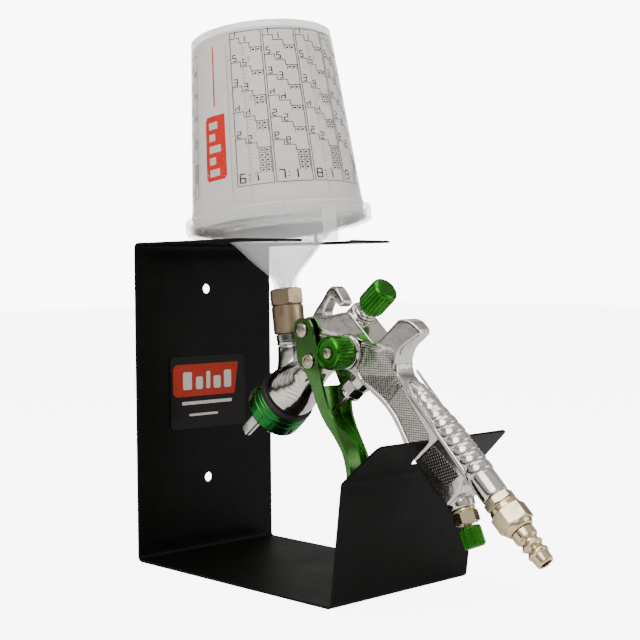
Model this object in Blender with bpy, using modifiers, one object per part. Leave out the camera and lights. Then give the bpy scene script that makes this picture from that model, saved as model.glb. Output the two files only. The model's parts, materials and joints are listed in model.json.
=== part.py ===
"""Folded-sheet wall holder for a gravity-feed spray gun, with the gun and its mixing cup parked in it.

Sizes are in millimetres. A place in the middle plane is (f, z): f forward of the wall and z over
the underside of the shelf.
"""
import math

import bmesh
import bpy
from mathutils import Matrix, Vector

for old in list(bpy.data.objects):
    bpy.data.objects.remove(old, do_unlink=True)

MM = 0.001
GAP = 0.3  # clearance between touching pieces

# The stand
WIDTH, DEPTH, HEIGHT, SHEET = 116.6, 183.3, 210.0, 1.5
BEND = 3.5
FRONT_TOP, LIP_TOP, LIP_INSET = (192.1, 71.7), (217.5, 94.2), 3.1
PANEL_RISE, PANEL_FOLD = 1.3, 39.0  # the pressed middle of the back panel and half its width
HOLE_D, HOLE_LOW, HOLE_HIGH = 6.5, 50.0, 179.2
NOTCH_HALF, NOTCH_FLOOR, NOTCH_CORNER = 14.5, 78.6, 4.0
FORK_HALF = 65.6  # half the width over the prongs
FORK_R, FORK_F, FORK_GATE, FORK_TIP = 42.5, 84.0, 20.0, 121.5
LABEL_W, LABEL_H, LABEL_Z, LABEL_T = 65.0, 49.0, 109.0, 0.5

# The cup axis starts on the top of the cup adapter and runs up
CUP_F, CUP_Z, CUP_LEAN = 83.1, 179.2, 7.6
LID_H, LID_R, LID_DEEP = 39.4, 59.7, 8.6
CUP_MOUTH_R, CUP_BASE_R, CUP_TOP, CUP_WALL = 55.2, 45.3, 163.0, 1.3
ADAPTER_END = -28.7

# The needle axis starts behind the air cap ring and runs back to the fluid knob
GUN_F, GUN_Z, GUN_RISE = 85.5, 111.5, 38.2
BODY_HALF = 10.0
PIVOT, PULLER = (113.2, 154.0), (118.9, 135.1)
ARM_OUT, ARM_T = 14.0, 1.8
SIDE_KNOB = (149.9, 141.6)
VALVE_DROP = -31.0  # the air valve's axis, below the needle's
GRIP_F, GRIP_Z, GRIP_FALL = 254.2, 64.8, -43.4  # end of the handle, and the hose plug's axis
RIBS, RIB_PITCH, RIB_END = 9, 6.8, -14.5  # the ribs on the bar down the back of the handle
REG_F, REG_Z, REG_FALL = 230.2, 55.8, -66.5  # end of the air regulator's boss, and its axis

COLORS = {
    "black": (0.02, 0.02, 0.02), "chrome": (0.75, 0.74, 0.72), "green": (0.05, 0.25, 0.03),
    "clear": (0.85, 0.83, 0.8), "teal": (0.1, 0.4, 0.36), "nickel": (0.55, 0.5, 0.42),
    "label": (0.03, 0.03, 0.03),
}
METALS = ("chrome", "green", "nickel")

parts = bpy.data.collections.new("airbrush_holder_stand")
cutters = bpy.data.collections.new("cutters")
for group in (parts, cutters):
    bpy.context.scene.collection.children.link(group)


def point(f, z, x=0.0):
    """A place f forward of the wall, z over the shelf's underside and x off the middle."""
    return Vector((x, DEPTH / 2 - f, z)) * MM


def along(f, z, angle, u, v=0.0):
    """The place u along an axis that rises forward by the angle, and v above it."""
    c, s = math.cos(math.radians(angle)), math.sin(math.radians(angle))
    return f + u * c - v * s, z + u * s + v * c


def axis(f, z, angle):
    """A frame in the middle plane whose Z runs forward and up by the angle."""
    up = Vector((0.0, -math.cos(math.radians(angle)), math.sin(math.radians(angle))))
    side = Vector((1.0, 0.0, 0.0))
    turn = Matrix((side, up.cross(side), up)).transposed().to_4x4()
    return Matrix.Translation(point(f, z)) @ turn


def sideways(place):
    """A frame at a place of the middle plane whose Z runs to the near side, -X."""
    return Matrix.Translation(point(*place)) @ Matrix.Rotation(math.radians(-90), 4, "Y")


CUP_AXIS = axis(CUP_F, CUP_Z, 90.0 + CUP_LEAN)
GUN_AXIS = axis(GUN_F, GUN_Z, GUN_RISE)
VALVE_AXIS = axis(*along(GUN_F, GUN_Z, GUN_RISE, 0.0, VALVE_DROP), GUN_RISE)
GRIP_AXIS = axis(GRIP_F, GRIP_Z, GRIP_FALL)
REG_AXIS = axis(REG_F, REG_Z, REG_FALL)
SIDE_AXIS, PIVOT_AXIS, PULLER_AXIS = sideways(SIDE_KNOB), sideways(PIVOT), sideways(PULLER)


def material(key):
    found = bpy.data.materials.get(key)
    if found is None:
        found = bpy.data.materials.new(key)
        found.use_nodes = True
        shader = found.node_tree.nodes["Principled BSDF"]
        shader.inputs["Base Color"].default_value = (*COLORS[key], 1.0)
        shader.inputs["Metallic"].default_value = 1.0 if key in METALS else 0.0
        shader.inputs["Roughness"].default_value = 0.15 if key in METALS else 0.45
    return found


def finish(name, bm, color, frame=None):
    """Makes the object; a piece with no color is a cutter."""
    bmesh.ops.recalc_face_normals(bm, faces=bm.faces)
    mesh = bpy.data.meshes.new(name)
    bm.to_mesh(mesh)
    bm.free()
    obj = bpy.data.objects.new(name, mesh)
    obj.matrix_world = frame or Matrix()
    if color is None:
        cutters.objects.link(obj)
        obj.hide_render = True
        obj.display_type = "WIRE"
    else:
        parts.objects.link(obj)
        mesh.materials.append(material(color))
    return obj


def turned(name, profile, color, frame, steps=20, bored=False):
    """A profile of (height, radius) turned about the frame's Z; a bored one closes on itself."""
    if not bored:
        profile = [(profile[0][0], 0.0), *profile, (profile[-1][0], 0.0)]
    pairs = list(zip(profile, profile[1:] + profile[:1]))
    if sum(h0 * r1 - h1 * r0 for (h0, r0), (h1, r1) in pairs) < 0:
        profile = profile[::-1]
    bm = bmesh.new()
    verts = [bm.verts.new((radius * MM, 0.0, height * MM)) for height, radius in profile]
    for here, after in zip(verts, verts[1:] + (verts[:1] if bored else [])):
        bm.edges.new((here, after))
    obj = finish(name, bm, color, frame)
    screw = obj.modifiers.new("turn", "SCREW")
    screw.axis = "Z"
    screw.steps = screw.render_steps = steps
    screw.use_merge_vertices = True
    screw.merge_threshold = 0.00001
    screw.use_smooth_shade = True
    return obj


def rod(name, low, high, radius, color, frame, sides=16):
    """A round or many-sided bar between two heights of the frame's Z."""
    bm = bmesh.new()
    middle = Matrix.Translation((0, 0, (low + high) / 2 * MM))
    turn = Matrix.Rotation(math.radians(10), 4, "Z")
    bmesh.ops.create_cone(bm, cap_ends=True, segments=sides, radius1=radius * MM, radius2=radius * MM,
                          depth=(high - low) * MM, matrix=middle @ turn)
    return finish(name, bm, color, frame)


def block(name, size, place, color, frame=None):
    """A box of a size, about a place of the frame."""
    bm = bmesh.new()
    bmesh.ops.create_cube(bm, size=1.0, matrix=Matrix.Translation(Vector(place) * MM)
                          @ Matrix.Diagonal((*(Vector(size) * MM), 1)))
    return finish(name, bm, color, frame)


def drawn(name, outline, reach, color, taper=None):
    """A flat outline of world points pulled out along reach; taper(vertex) may narrow it afterwards."""
    bm = bmesh.new()
    face = bm.faces.new([bm.verts.new(corner) for corner in outline])
    pulled = bmesh.ops.extrude_face_region(bm, geom=[face])["geom"]
    bmesh.ops.translate(bm, vec=reach, verts=[v for v in pulled if isinstance(v, bmesh.types.BMVert)])
    if taper:
        bmesh.ops.triangulate(bm, faces=[flat for flat in bm.faces if len(flat.verts) > 4])
        for vert in bm.verts:
            taper(vert)
    return finish(name, bm, color)


def from_side(name, outline, half, color, taper=None):
    """An outline of (f, z) pulled out to both sides of the middle plane."""
    return drawn(name, [point(f, z, -half) for f, z in outline], Vector((2 * half * MM, 0, 0)), color, taper)


def from_front(name, outline, near, far, color):
    """An outline of (x, z) pulled from one distance to another."""
    return drawn(name, [point(near, z, x) for x, z in outline], Vector((0, (near - far) * MM, 0)), color)


def from_top(name, outline, low, high, color):
    """An outline of (x, f) pulled between two heights."""
    return drawn(name, [point(f, low, x) for x, f in outline], Vector((0, 0, (high - low) * MM)), color)


def carve(obj, other, operation="DIFFERENCE"):
    modifier = obj.modifiers.new(other.name, "BOOLEAN")
    modifier.operation = operation
    modifier.solver = "EXACT"
    modifier.object = other


def join(obj, other):
    carve(obj, other, "UNION")


def soften(obj, width, segments=2, angle=35):
    modifier = obj.modifiers.new("soft_edges", "BEVEL")
    modifier.width = width * MM
    modifier.segments = segments
    modifier.limit_method = "ANGLE"
    modifier.angle_limit = math.radians(angle)


def add_hexagon(obj, across, low, high, frame):
    """Adds a hexagon of a size across its flats to a turned piece."""
    hexagon = rod(f"{obj.name}_flats", low, high, across / 2 / math.cos(math.radians(30)), None, frame, 6)
    join(obj, hexagon)


def cut_flutes(obj, count, radius, depth, low, high, frame):
    """Cuts straight grooves along a knob."""
    bm = bmesh.new()
    for i in range(count):
        turn = Matrix.Rotation(2 * math.pi * i / count, 4, "Z")
        place = Matrix.Translation(((radius + depth * 0.2) * MM, 0, (low + high) / 2 * MM))
        bmesh.ops.create_cone(bm, cap_ends=True, segments=6, radius1=depth * MM, radius2=depth * MM,
                              depth=(high - low) * MM, matrix=turn @ place)
    carve(obj, finish(f"{obj.name}_flutes", bm, None, frame))


def arc(cx, cy, radius, start, end, count):
    """Points on a circle between two angles in degrees."""
    turns = (math.radians(start + (end - start) * i / count) for i in range(count + 1))
    return [(cx + radius * math.cos(a), cy + radius * math.sin(a)) for a in turns]


def folded(corners, radius, count=4):
    """A polyline with its inner corners rounded."""
    path = [Vector(corners[0])]
    for before, here, after in zip(corners, corners[1:], corners[2:]):
        here = Vector(here)
        into, out = (here - Vector(before)).normalized(), (Vector(after) - here).normalized()
        reach = radius * math.tan(into.angle(out) / 2)
        for i in range(count + 1):
            t = i / count
            start, end = here - into * reach, here + out * reach
            path.append(start * (1 - t) ** 2 + here * 2 * t * (1 - t) + end * t ** 2)
    path.append(Vector(corners[-1]))
    return path


# ---------------------------------------------------------------- the stand
def sheet_path():
    """Middle line of the sheet from the lip down, along the shelf, up the panel and out over the fork."""
    mid, edge = SHEET / 2, BEND + SHEET
    corners = [LIP_TOP, FRONT_TOP, (DEPTH - mid, mid), (mid, mid), (mid, HEIGHT - mid),
               (FORK_TIP + 8, HEIGHT - mid)]
    path = folded(corners, BEND)
    top_bend = next(i for i, p in enumerate(path) if p.x < DEPTH / 2 and p.y > HEIGHT / 2)
    levels = [edge + 3.0, edge + 9.0, HEIGHT - edge - 9.0, HEIGHT - edge - 3.0]
    path[top_bend:top_bend] = [Vector((mid, level)) for level in levels]
    return path


def build_sheet():
    """One folded sheet, still wide at the top for the fork."""
    path, wide = sheet_path(), FORK_TIP / 2 + 8
    columns = [-wide, -WIDTH / 2 - 0.4, -PANEL_FOLD, PANEL_FOLD, WIDTH / 2 + 0.4, wide]
    bm = bmesh.new()
    line = [bm.verts.new(point(p.x, p.y, columns[0])) for p in path]
    edges = [bm.edges.new(pair) for pair in zip(line, line[1:])]
    for before, x in zip(columns, columns[1:]):
        grown = bmesh.ops.extrude_edge_only(bm, edges=edges)["geom"]
        edges = [e for e in grown if isinstance(e, bmesh.types.BMEdge) and all(v in grown for v in e.verts)]
        new = [v for v in grown if isinstance(v, bmesh.types.BMVert)]
        bmesh.ops.translate(bm, vec=((x - before) * MM, 0, 0),
                            verts=[v for v in grown if isinstance(v, bmesh.types.BMVert)])
    back, margin = point(SHEET / 2, 0).y, (BEND + SHEET + 6.0) * MM
    for vert in bm.verts:
        on_panel = abs(vert.co.y - back) < 1e-6 and margin < vert.co.z < HEIGHT * MM - margin
        if on_panel and abs(vert.co.x) < (PANEL_FOLD + 1) * MM:
            vert.co.y -= PANEL_RISE * MM
    frame = finish("stand_frame", bm, "black")
    thick = frame.modifiers.new("sheet", "SOLIDIFY")
    thick.thickness = SHEET * MM
    thick.offset = 0.0
    thick.use_even_offset = True
    return frame


def build_stand():
    frame = build_sheet()
    half, out, past = WIDTH / 2, 90.0, 160.0
    side = [(half, -20.0), (out, -20.0), (out, HEIGHT - 4.5), (half, HEIGHT - 4.5)]
    fork = [(half, -10.0), (half, 12.0), (58.9, 26.0), (59.9, 46.0), (62.0, 70.0), (64.2, 92.0),
            (FORK_HALF, 110.0), (FORK_HALF - 0.6, 113.5), (FORK_HALF - 3.1, 115.6),
            (FORK_GATE - 2, FORK_TIP), (FORK_GATE - 2, past), (out, past), (out, -10.0)]
    lip = [(half, 70.0), (half, 73.0), (half - LIP_INSET, 92.4), (half - 5.0, 94.6), (half - 8, 97.0),
           (out, 97.0), (out, 70.0)]
    for sign, tag in ((-1, "near"), (1, "far")):
        def mirrored(outline):
            return [(sign * x, other) for x, other in outline]
        carve(frame, from_front(f"side_{tag}", mirrored(side), -20.0, 240.0, None))
        carve(frame, from_top(f"fork_{tag}", mirrored(fork), HEIGHT - 5, HEIGHT + 10, None))
        carve(frame, from_front(f"lip_{tag}", mirrored(lip), DEPTH + 3, 230.0, None))
    gate = math.degrees(math.asin(FORK_GATE / FORK_R))
    opening = arc(0.0, FORK_F, FORK_R, 90 + gate, 450 - gate, 32)
    opening += [(FORK_GATE, past), (-FORK_GATE, past)]
    carve(frame, from_top("fork_opening", opening, HEIGHT - 10, HEIGHT + 10, None))
    floor, inner = NOTCH_FLOOR + NOTCH_CORNER, NOTCH_HALF - 1.5
    right = arc(inner - NOTCH_CORNER, floor, NOTCH_CORNER, 270, 360, 4) + [(NOTCH_HALF, LIP_TOP[1]),
                                                                           (NOTCH_HALF + 1.2, 110.0)]
    notch = [(-x, z) for x, z in right[::-1]] + right
    carve(frame, from_front("notch", notch, DEPTH + 3, 232.0, None))
    for level, tag in ((HOLE_LOW, "low"), (HOLE_HIGH, "high")):
        carve(frame, rod(f"screw_hole_{tag}", -20.0, 20.0, HOLE_D / 2, None, axis(0.0, level, 0.0), 20))

    corners = []
    for cx, cz, start in ((1, 1, 0), (-1, 1, 90), (-1, -1, 180), (1, -1, 270)):
        corners += arc(cx * (LABEL_W / 2 - 3), LABEL_Z + cz * (LABEL_H / 2 - 3), 3.0, start, start + 90, 3)
    face = SHEET + PANEL_RISE + GAP
    from_front("stand_label", corners, face, face + LABEL_T, "label")


# ---------------------------------------------------------------- the cup
def build_cup():
    lid, lip, wall = LID_H, LID_H + LID_DEEP, CUP_WALL
    foot = CUP_TOP - 2.0
    cup = [(foot, CUP_BASE_R - 2.2), (CUP_TOP, CUP_BASE_R - 1.6), (CUP_TOP, CUP_BASE_R),
           (CUP_TOP - 4.0, CUP_BASE_R + 0.3), (lip + 5.0, CUP_MOUTH_R - 0.5), (lid + 2.1, CUP_MOUTH_R),
           (lid + 2.1, CUP_MOUTH_R - wall), (lip + 5.0, CUP_MOUTH_R - 0.5 - wall),
           (CUP_TOP - 5.0, CUP_BASE_R + 0.3 - wall), (foot - wall, CUP_BASE_R - 2.6)]
    turned("mixing_cup", cup, "clear", CUP_AXIS, 36)
    cover = [(-6.0, 4.5), (0.5, 4.6), (0.5, 7.3), (6.0, 8.0), (11.0, 11.6), (20.0, 20.4), (31.0, 30.2),
             (lid - 0.6, 40.0),
             (lid, 43.0), (lid, LID_R - 1.2), (lid + 1.0, LID_R), (lip - 0.8, LID_R), (lip, LID_R - 0.8),
             (lip, LID_R - 2.2), (lid + 1.6, LID_R - 2.8), (lid + 1.6, 41.5), (lid + 0.6, 38.0), (31.0, 28.4),
             (20.0, 18.6), (11.0, 9.8), (6.0, 6.0), (0.0, 3.5), (-6.0, 3.5)]
    cover = turned("cup_lid", cover, "clear", CUP_AXIS, 36, bored=True)
    tab = block("lid_tab", (10.0, 2.6, 23.0), (0, -LID_R - 0.9, lid - 6.5), None,
                CUP_AXIS @ Matrix.Rotation(math.radians(-12), 4, "Z"))
    soften(tab, 0.8)
    join(cover, tab)
    screen = [(36.2, 3.0), (36.2, 31.0), (37.4, 31.4), (37.4, 29.6), (36.9, 29.0), (36.9, 3.0)]
    turned("lid_filter", screen, "teal", CUP_AXIS, 28, bored=True)
    adapter = turned("cup_adapter", [(ADAPTER_END, 9.4), (-27.9, 10.2), (-11.0, 10.2), (-10.0, 9.2),
                                     (0.0, 9.0)],
                     "nickel", CUP_AXIS, 24)
    add_hexagon(adapter, 19.4, -10.4, -0.7, CUP_AXIS)
    carve(adapter, rod("adapter_bore", -40.0, 10.0, 5.0, None, CUP_AXIS))
    top = ADAPTER_END - GAP
    nipple = [(-36.0, 8.4), (-35.4, 8.9), (top - 0.6, 8.9), (top, 8.4), (top, 4.7), (-14.0, 4.6),
              (-14.0, 2.4), (-36.0, 2.4)]
    turned("inlet_nipple", nipple, "chrome", CUP_AXIS, 20, bored=True)


# ---------------------------------------------------------------- the gun
def body_outline():
    """Side outline of the casting, clockwise from the neck."""
    top = [(97.0, 128.0), (102.0, 141.0), (104.5, 150.0), (107.5, 158.0), (113.0, 162.4), (128.0, 163.4),
           (146.0, 164.8),
           (149.5, 165.4), (153.0, 163.0), (168.0, 149.5), (171.0, 147.6), (174.0, 148.6), (187.6, 161.4)]
    horn = [(198.4, 158.9), (202.6, 155.8), (201.4, 152.4), (191.0, 145.8), (187.2, 140.4), (186.3, 134.0)]
    grip = [(189.4, 127.5), (196.5, 120.5), (222.0, 97.0), (240.0, 79.0), (236.0, 66.0), (227.0, 58.0)]
    front = [(216.5, 65.5), (194.5, 89.5), (191.0, 97.5), (180.0, 110.0), (164.0, 120.4), (147.0, 131.0),
             (131.0, 131.0),
             (118.0, 127.0), (105.0, 117.5), (97.0, 110.0)]
    return top + horn + grip + front


def thin_horn(vert):
    """Narrows the casting towards the horn at the back of the hand."""
    f = DEPTH / 2 - vert.co.y / MM
    if vert.co.z > 124 * MM and f > 172:
        vert.co.x *= max(0.46, 1.0 - (f - 172.0) * 0.0178)


def grip_profile():
    """The ribbed bar along the back of the handle."""
    profile = [(-88.0, 1.6), (-85.0, 3.6), (-80.0, 5.2), (-76.4, 6.0)]
    for i in range(RIBS):
        start = RIB_END - RIB_PITCH * (RIBS - i)
        full = min(9.1, 6.6 + 0.7 * i)
        profile += [(start + 0.4, full - 0.3), (start + RIB_PITCH / 2, full),
                    (start + RIB_PITCH - 1.2, full - 0.3), (start + RIB_PITCH - 0.4, full - 1.0)]
    return profile + [(RIB_END, 8.0), (-1.0, 8.0), (0.0, 7.4)]


def build_body():
    body = from_side("gun_body", body_outline(), BODY_HALF, "chrome", thin_horn)
    soften(body, 2.2)
    head = [(-14.0, 12.0), (-13.0, 14.6), (-0.3, 14.6), (0.0, 16.2), (1.0, 17.0), (6.5, 17.0), (11.0, 16.4),
            (16.0, 14.8), (22.0, 12.4), (30.0, 11.0), (36.0, 7.0)]
    join(body, turned("head", head, None, GUN_AXIS, 28))
    neck = [(-68.0, 9.5), (-58.0, 11.0), (-50.0, 10.0), (-42.0, 8.9), (-37.0, 8.7), (-36.3, 8.2)]
    join(body, turned("inlet_neck", neck, None, CUP_AXIS, 20))
    join(body, turned("grip_bar", grip_profile(), None, GRIP_AXIS, 16))
    boss = [(-19.0, 5.5), (-9.0, 6.4), (-4.0, 7.8), (-0.6, 7.8), (0.0, 7.2)]
    join(body, turned("regulator_boss", boss, None, REG_AXIS, 16))
    join(body, turned("knob_seat", [(66.0, 5.0), (78.0, 8.4), (85.8, 8.4), (86.5, 7.8)], None, GUN_AXIS, 16))
    join(body, rod("valve_boss", 57.0, 66.0, 7.4, None, VALVE_AXIS))
    hook = [(109.0, 154.0), (112.5, 163.5), (120.5, 172.5), (125.8, 179.2), (129.8, 181.2), (133.6, 179.8),
            (138.4, 174.0), (139.8, 170.2), (136.8, 168.0), (133.2, 170.6), (129.6, 173.2), (126.8, 171.4),
            (122.8, 165.0), (121.5, 156.0)]
    hook = from_side("hook", hook, 4.3, None)
    soften(hook, 1.3)
    join(body, hook)
    carve(body, rod("needle_bore", -30.0, 90.0, 1.5, None, GUN_AXIS, 12))
    carve(body, rod("valve_bore", 50.0, 78.0, 2.0, None, VALVE_AXIS, 12))
    carve(body, rod("pivot_bore", -40.0, 40.0, 2.6, None, PIVOT_AXIS))


def build_front_end():
    seal = [(-4.2, 14.9), (-4.2, 18.5), (-0.8, 18.7), (-GAP, 18.2), (-GAP, 14.9)]
    turned("ring_seal", seal, "black", GUN_AXIS, 28, bored=True)
    ring = [(-21.6, 12.2), (-21.6, 15.6), (-20.2, 18.2), (-19.2, 19.0), (-11.6, 19.3), (-10.8, 18.4),
            (-9.6, 19.1), (-7.4, 19.1), (-6.6, 18.5), (-4.5, 18.5), (-4.5, 14.9), (-20.5, 14.9),
            (-20.5, 12.2)]
    ring = turned("air_cap_ring", ring, "green", GUN_AXIS, 32, bored=True)
    cut_flutes(ring, 16, 19.0, 0.9, -24.0, -11.6, GUN_AXIS)
    cap = [(-26.2, 2.7), (-26.2, 8.4), (-25.2, 10.4), (-21.4, 11.8), (-20.2, 11.9), (-20.2, 14.6),
           (-17.0, 14.6), (-17.0, 9.0), (-22.5, 8.0), (-24.2, 5.0), (-24.2, 2.7)]
    cap = turned("air_cap", cap, "chrome", GUN_AXIS, 24, bored=True)
    for sign, tag in ((-1, "near"), (1, "far")):
        horn = block(f"horn_{tag}", (4.9, 7.4, 17.8), (sign * 9.55, 0, -32.1), None, GUN_AXIS)
        soften(horn, 1.0)
        join(cap, horn)
    nozzle = [(-27.4, 2.1), (-23.0, 2.3), (-19.5, 4.0), (-19.0, 6.2), (-16.0, 6.2), (-15.8, 7.6),
              (-14.3, 7.6)]
    nozzle = turned("fluid_nozzle", nozzle, "nickel", GUN_AXIS, 16)
    add_hexagon(nozzle, 13.0, -18.6, -16.2, GUN_AXIS)
    carve(nozzle, rod("nozzle_bore", -30.0, -10.0, 1.3, None, GUN_AXIS, 12))


def build_fluid_knob():
    turned("fluid_needle", [(-27.0, 0.4), (-23.0, 0.8), (94.0, 0.8), (94.0, 2.2), (99.0, 2.2), (99.5, 1.6)],
           "nickel", GUN_AXIS, 12)
    gland = [(86.8, 6.6), (87.2, 7.0), (88.2, 7.0), (88.6, 5.8), (90.2, 5.8), (90.2, 3.2), (86.8, 3.2)]
    turned("fluid_knob_gland", gland, "chrome", GUN_AXIS, 20, bored=True)
    knob = [(90.5, 5.0), (90.9, 6.4), (92.2, 7.6), (93.4, 8.3), (107.8, 8.5), (109.8, 7.6), (110.8, 5.8)]
    knob = turned("fluid_knob", knob, "green", GUN_AXIS, 32)
    cut_flutes(knob, 16, 8.4, 0.7, 92.4, 112.0, GUN_AXIS)
    carve(knob, rod("fluid_knob_bore", 85.0, 106.0, 3.3, None, GUN_AXIS, 12))


def build_pattern_knob():
    seat = [(10.3, 8.0), (10.3, 10.6), (11.6, 11.0), (13.2, 10.4), (13.7, 9.2), (13.7, 8.0)]
    turned("pattern_seat", seat, "chrome", SIDE_AXIS, 28, bored=True)
    knob = [(14.0, 9.4), (15.0, 9.8), (16.0, 10.2), (26.0, 10.3), (27.6, 9.6), (28.4, 8.6), (27.9, 7.9),
            (27.9, 3.6), (25.6, 3.6), (25.6, 2.0), (14.0, 2.0)]
    knob = turned("pattern_knob", knob, "green", SIDE_AXIS, 36, bored=True)
    cut_flutes(knob, 18, 10.3, 0.7, 15.0, 26.4, SIDE_AXIS)
    screw = turned("pattern_knob_screw", [(10.4, 1.7), (25.9, 1.7), (25.9, 3.3), (28.0, 3.3), (28.9, 2.6)],
                   "nickel", SIDE_AXIS, 16)
    for turn in (45, 135):
        slot = block(f"cross_{turn}", (4.2, 0.8, 2.6), (0, 0, 29.0), None,
                     SIDE_AXIS @ Matrix.Rotation(math.radians(turn), 4, "Z"))
        carve(screw, slot)


def build_air_fittings():
    gland = turned("air_valve_gland", [(46.0, 5.4), (46.6, 6.6), (48.2, 6.6), (48.6, 6.0), (56.7, 6.0)],
                   "chrome", VALVE_AXIS, 20)
    add_hexagon(gland, 12.6, 48.8, 56.0, VALVE_AXIS)
    carve(gland, rod("gland_bore", 40.0, 60.0, 2.0, None, VALVE_AXIS, 12))
    turned("air_valve_stem", [(27.2, 0.9), (28.0, 1.6), (64.0, 1.6)], "nickel", VALVE_AXIS, 12)

    nut = turned("air_inlet_nut", [(0.3, 7.4), (1.0, 7.8), (5.2, 7.8), (6.0, 7.4)], "nickel", GRIP_AXIS)
    add_hexagon(nut, 16.0, 0.8, 5.4, GRIP_AXIS)
    adapter = [(6.3, 8.4), (7.0, 9.0), (10.0, 9.0), (19.6, 9.0), (21.4, 8.6), (23.6, 7.2)]
    adapter = turned("coupling_adapter", adapter, "nickel", GRIP_AXIS)
    add_hexagon(adapter, 18.9, 10.0, 19.8, GRIP_AXIS)
    for obj in (nut, adapter):
        carve(obj, rod(f"{obj.name}_bore", -5.0, 30.0, 4.2, None, GRIP_AXIS, 12))
    plug = [(23.9, 6.8), (29.4, 6.6), (29.9, 5.4), (32.4, 5.0), (32.8, 6.2), (34.2, 6.4), (34.9, 5.2),
            (37.2, 4.8), (38.0, 6.0), (39.6, 6.2), (40.4, 5.4), (45.3, 5.0), (46.3, 4.4), (46.3, 3.4),
            (23.9, 3.4)]
    turned("coupling_plug", plug, "nickel", GRIP_AXIS, 20, bored=True)

    nut = turned("air_regulator_nut", [(0.3, 7.0), (1.6, 7.0), (1.9, 6.2), (9.4, 6.0)], "nickel", REG_AXIS)
    add_hexagon(nut, 13.4, 2.1, 9.0, REG_AXIS)
    carve(nut, rod("regulator_nut_bore", -5.0, 12.0, 3.0, None, REG_AXIS, 12))
    rod("air_regulator_stem", 0.3, 16.4, 2.6, "nickel", REG_AXIS, 12)
    knob = turned("air_regulator_knob", [(10.6, 5.2), (11.6, 6.4), (21.6, 6.6), (22.8, 5.6)], "green",
                  REG_AXIS, 24)
    cut_flutes(knob, 12, 6.5, 0.6, 11.4, 25.0, REG_AXIS)
    carve(knob, rod("regulator_knob_bore", 0.0, 16.8, 2.9, None, REG_AXIS, 12))


TRIGGER = (  # nozzle-side edge, handle-side edge and half width, from the top down
    ((110.5, 161.2), (117.5, 161.6), 13.9), ((107.0, 158.4), (121.0, 157.4), 14.0),
    ((105.6, 153.5), (122.8, 151.0), 14.0), ((107.2, 144.0), (124.8, 143.5), 14.0),
    ((109.0, 135.0), (127.2, 134.0), 14.0), ((113.8, 128.5), (129.0, 126.0), 14.0),
    ((118.2, 118.0), (130.3, 116.0), 12.4), ((121.5, 106.0), (132.5, 105.0), 10.4),
    ((126.5, 97.0), (137.0, 95.5), 9.2), ((134.5, 88.5), (142.5, 86.0), 9.0),
    ((141.5, 78.5), (147.5, 77.0), 9.0), ((144.8, 66.0), (150.0, 66.0), 9.0),
    ((144.5, 55.0), (149.5, 54.0), 8.6), ((142.5, 49.0), (146.0, 47.0), 7.5),
)


def build_trigger():
    """A channel pressed from sheet: two arms beside the head that merge into one blade."""
    bm = bmesh.new()
    rows = []
    for (lf, lz), (rf, rz), half in TRIGGER:
        channel = ((rf, rz, -half), (lf, lz, -half), (lf, lz, half), (rf, rz, half))
        rows.append([bm.verts.new(point(f, z, x) - point(*PIVOT)) for f, z, x in channel])
    for upper, lower in zip(rows, rows[1:]):
        for i in range(3):
            bm.faces.new((upper[i], upper[i + 1], lower[i + 1], lower[i]))
    trigger = finish("trigger", bm, "green", Matrix.Translation(point(*PIVOT)))
    thick = trigger.modifiers.new("sheet", "SOLIDIFY")
    thick.thickness = ARM_T * MM
    thick.offset = -1.0
    thick.use_even_offset = True
    inside = ARM_OUT - ARM_T + GAP
    window = [(100.0, 175.0), (140.0, 175.0), (140.0, 158.5), (114.0, 158.5), (110.5, 150.0),
              (112.0, 138.0), (117.0, 130.5),
              (121.5, 121.5), (119.0, 118.5), (108.0, 118.5), (96.0, 140.0)]
    carve(trigger, from_side("trigger_window", window, inside, None))
    carve(trigger, rod("pivot_hole", -30.0, 30.0, 2.8, None, PIVOT_AXIS))
    carve(trigger, rod("rivet_hole", -30.0, 30.0, 2.3, None, PULLER_AXIS))

    out = ARM_OUT + GAP
    screw = [(-out - 0.8, 2.3), (out, 2.3), (out, 4.8), (out + 1.2, 4.6), (out + 1.9, 3.6)]
    screw = turned("trigger_pivot_screw", screw, "nickel", PIVOT_AXIS)
    slot = block("pivot_slot", (12.0, 1.1, 1.8), (0, 0, out + 2.0), None,
                 PIVOT_AXIS @ Matrix.Rotation(math.radians(-25), 4, "Z"))
    carve(screw, slot)
    nut = turned("trigger_pivot_nut", [(-out - 3.2, 4.0), (-out - 2.6, 4.4), (-out, 4.4)], "nickel",
                 PIVOT_AXIS)
    add_hexagon(nut, 9.0, -out - 2.9, -out - 0.4, PIVOT_AXIS)
    carve(nut, rod("nut_bore", -30.0, 0.0, 2.6, None, PIVOT_AXIS))
    for sign, tag in ((1, "near"), (-1, "far")):
        rivet = [(10.6, 2.0), (out, 2.0), (out, 4.8), (out + 1.0, 4.6), (out + 1.6, 3.4)]
        turned(f"puller_rivet_{tag}", [(sign * height, radius) for height, radius in rivet], "nickel",
               PULLER_AXIS)


build_stand()
build_cup()
build_body()
build_front_end()
build_fluid_knob()
build_pattern_knob()
build_air_fittings()
build_trigger()
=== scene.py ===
"""Looks for a folded-sheet wall holder with a gravity-feed spray gun and its mixing cup parked in it."""

import json
import logging
import math
from dataclasses import dataclass, field
from enum import Enum
from typing import Callable, Iterable, Optional, Sequence

import bmesh
import bpy
from mathutils import Matrix, Vector


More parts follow.
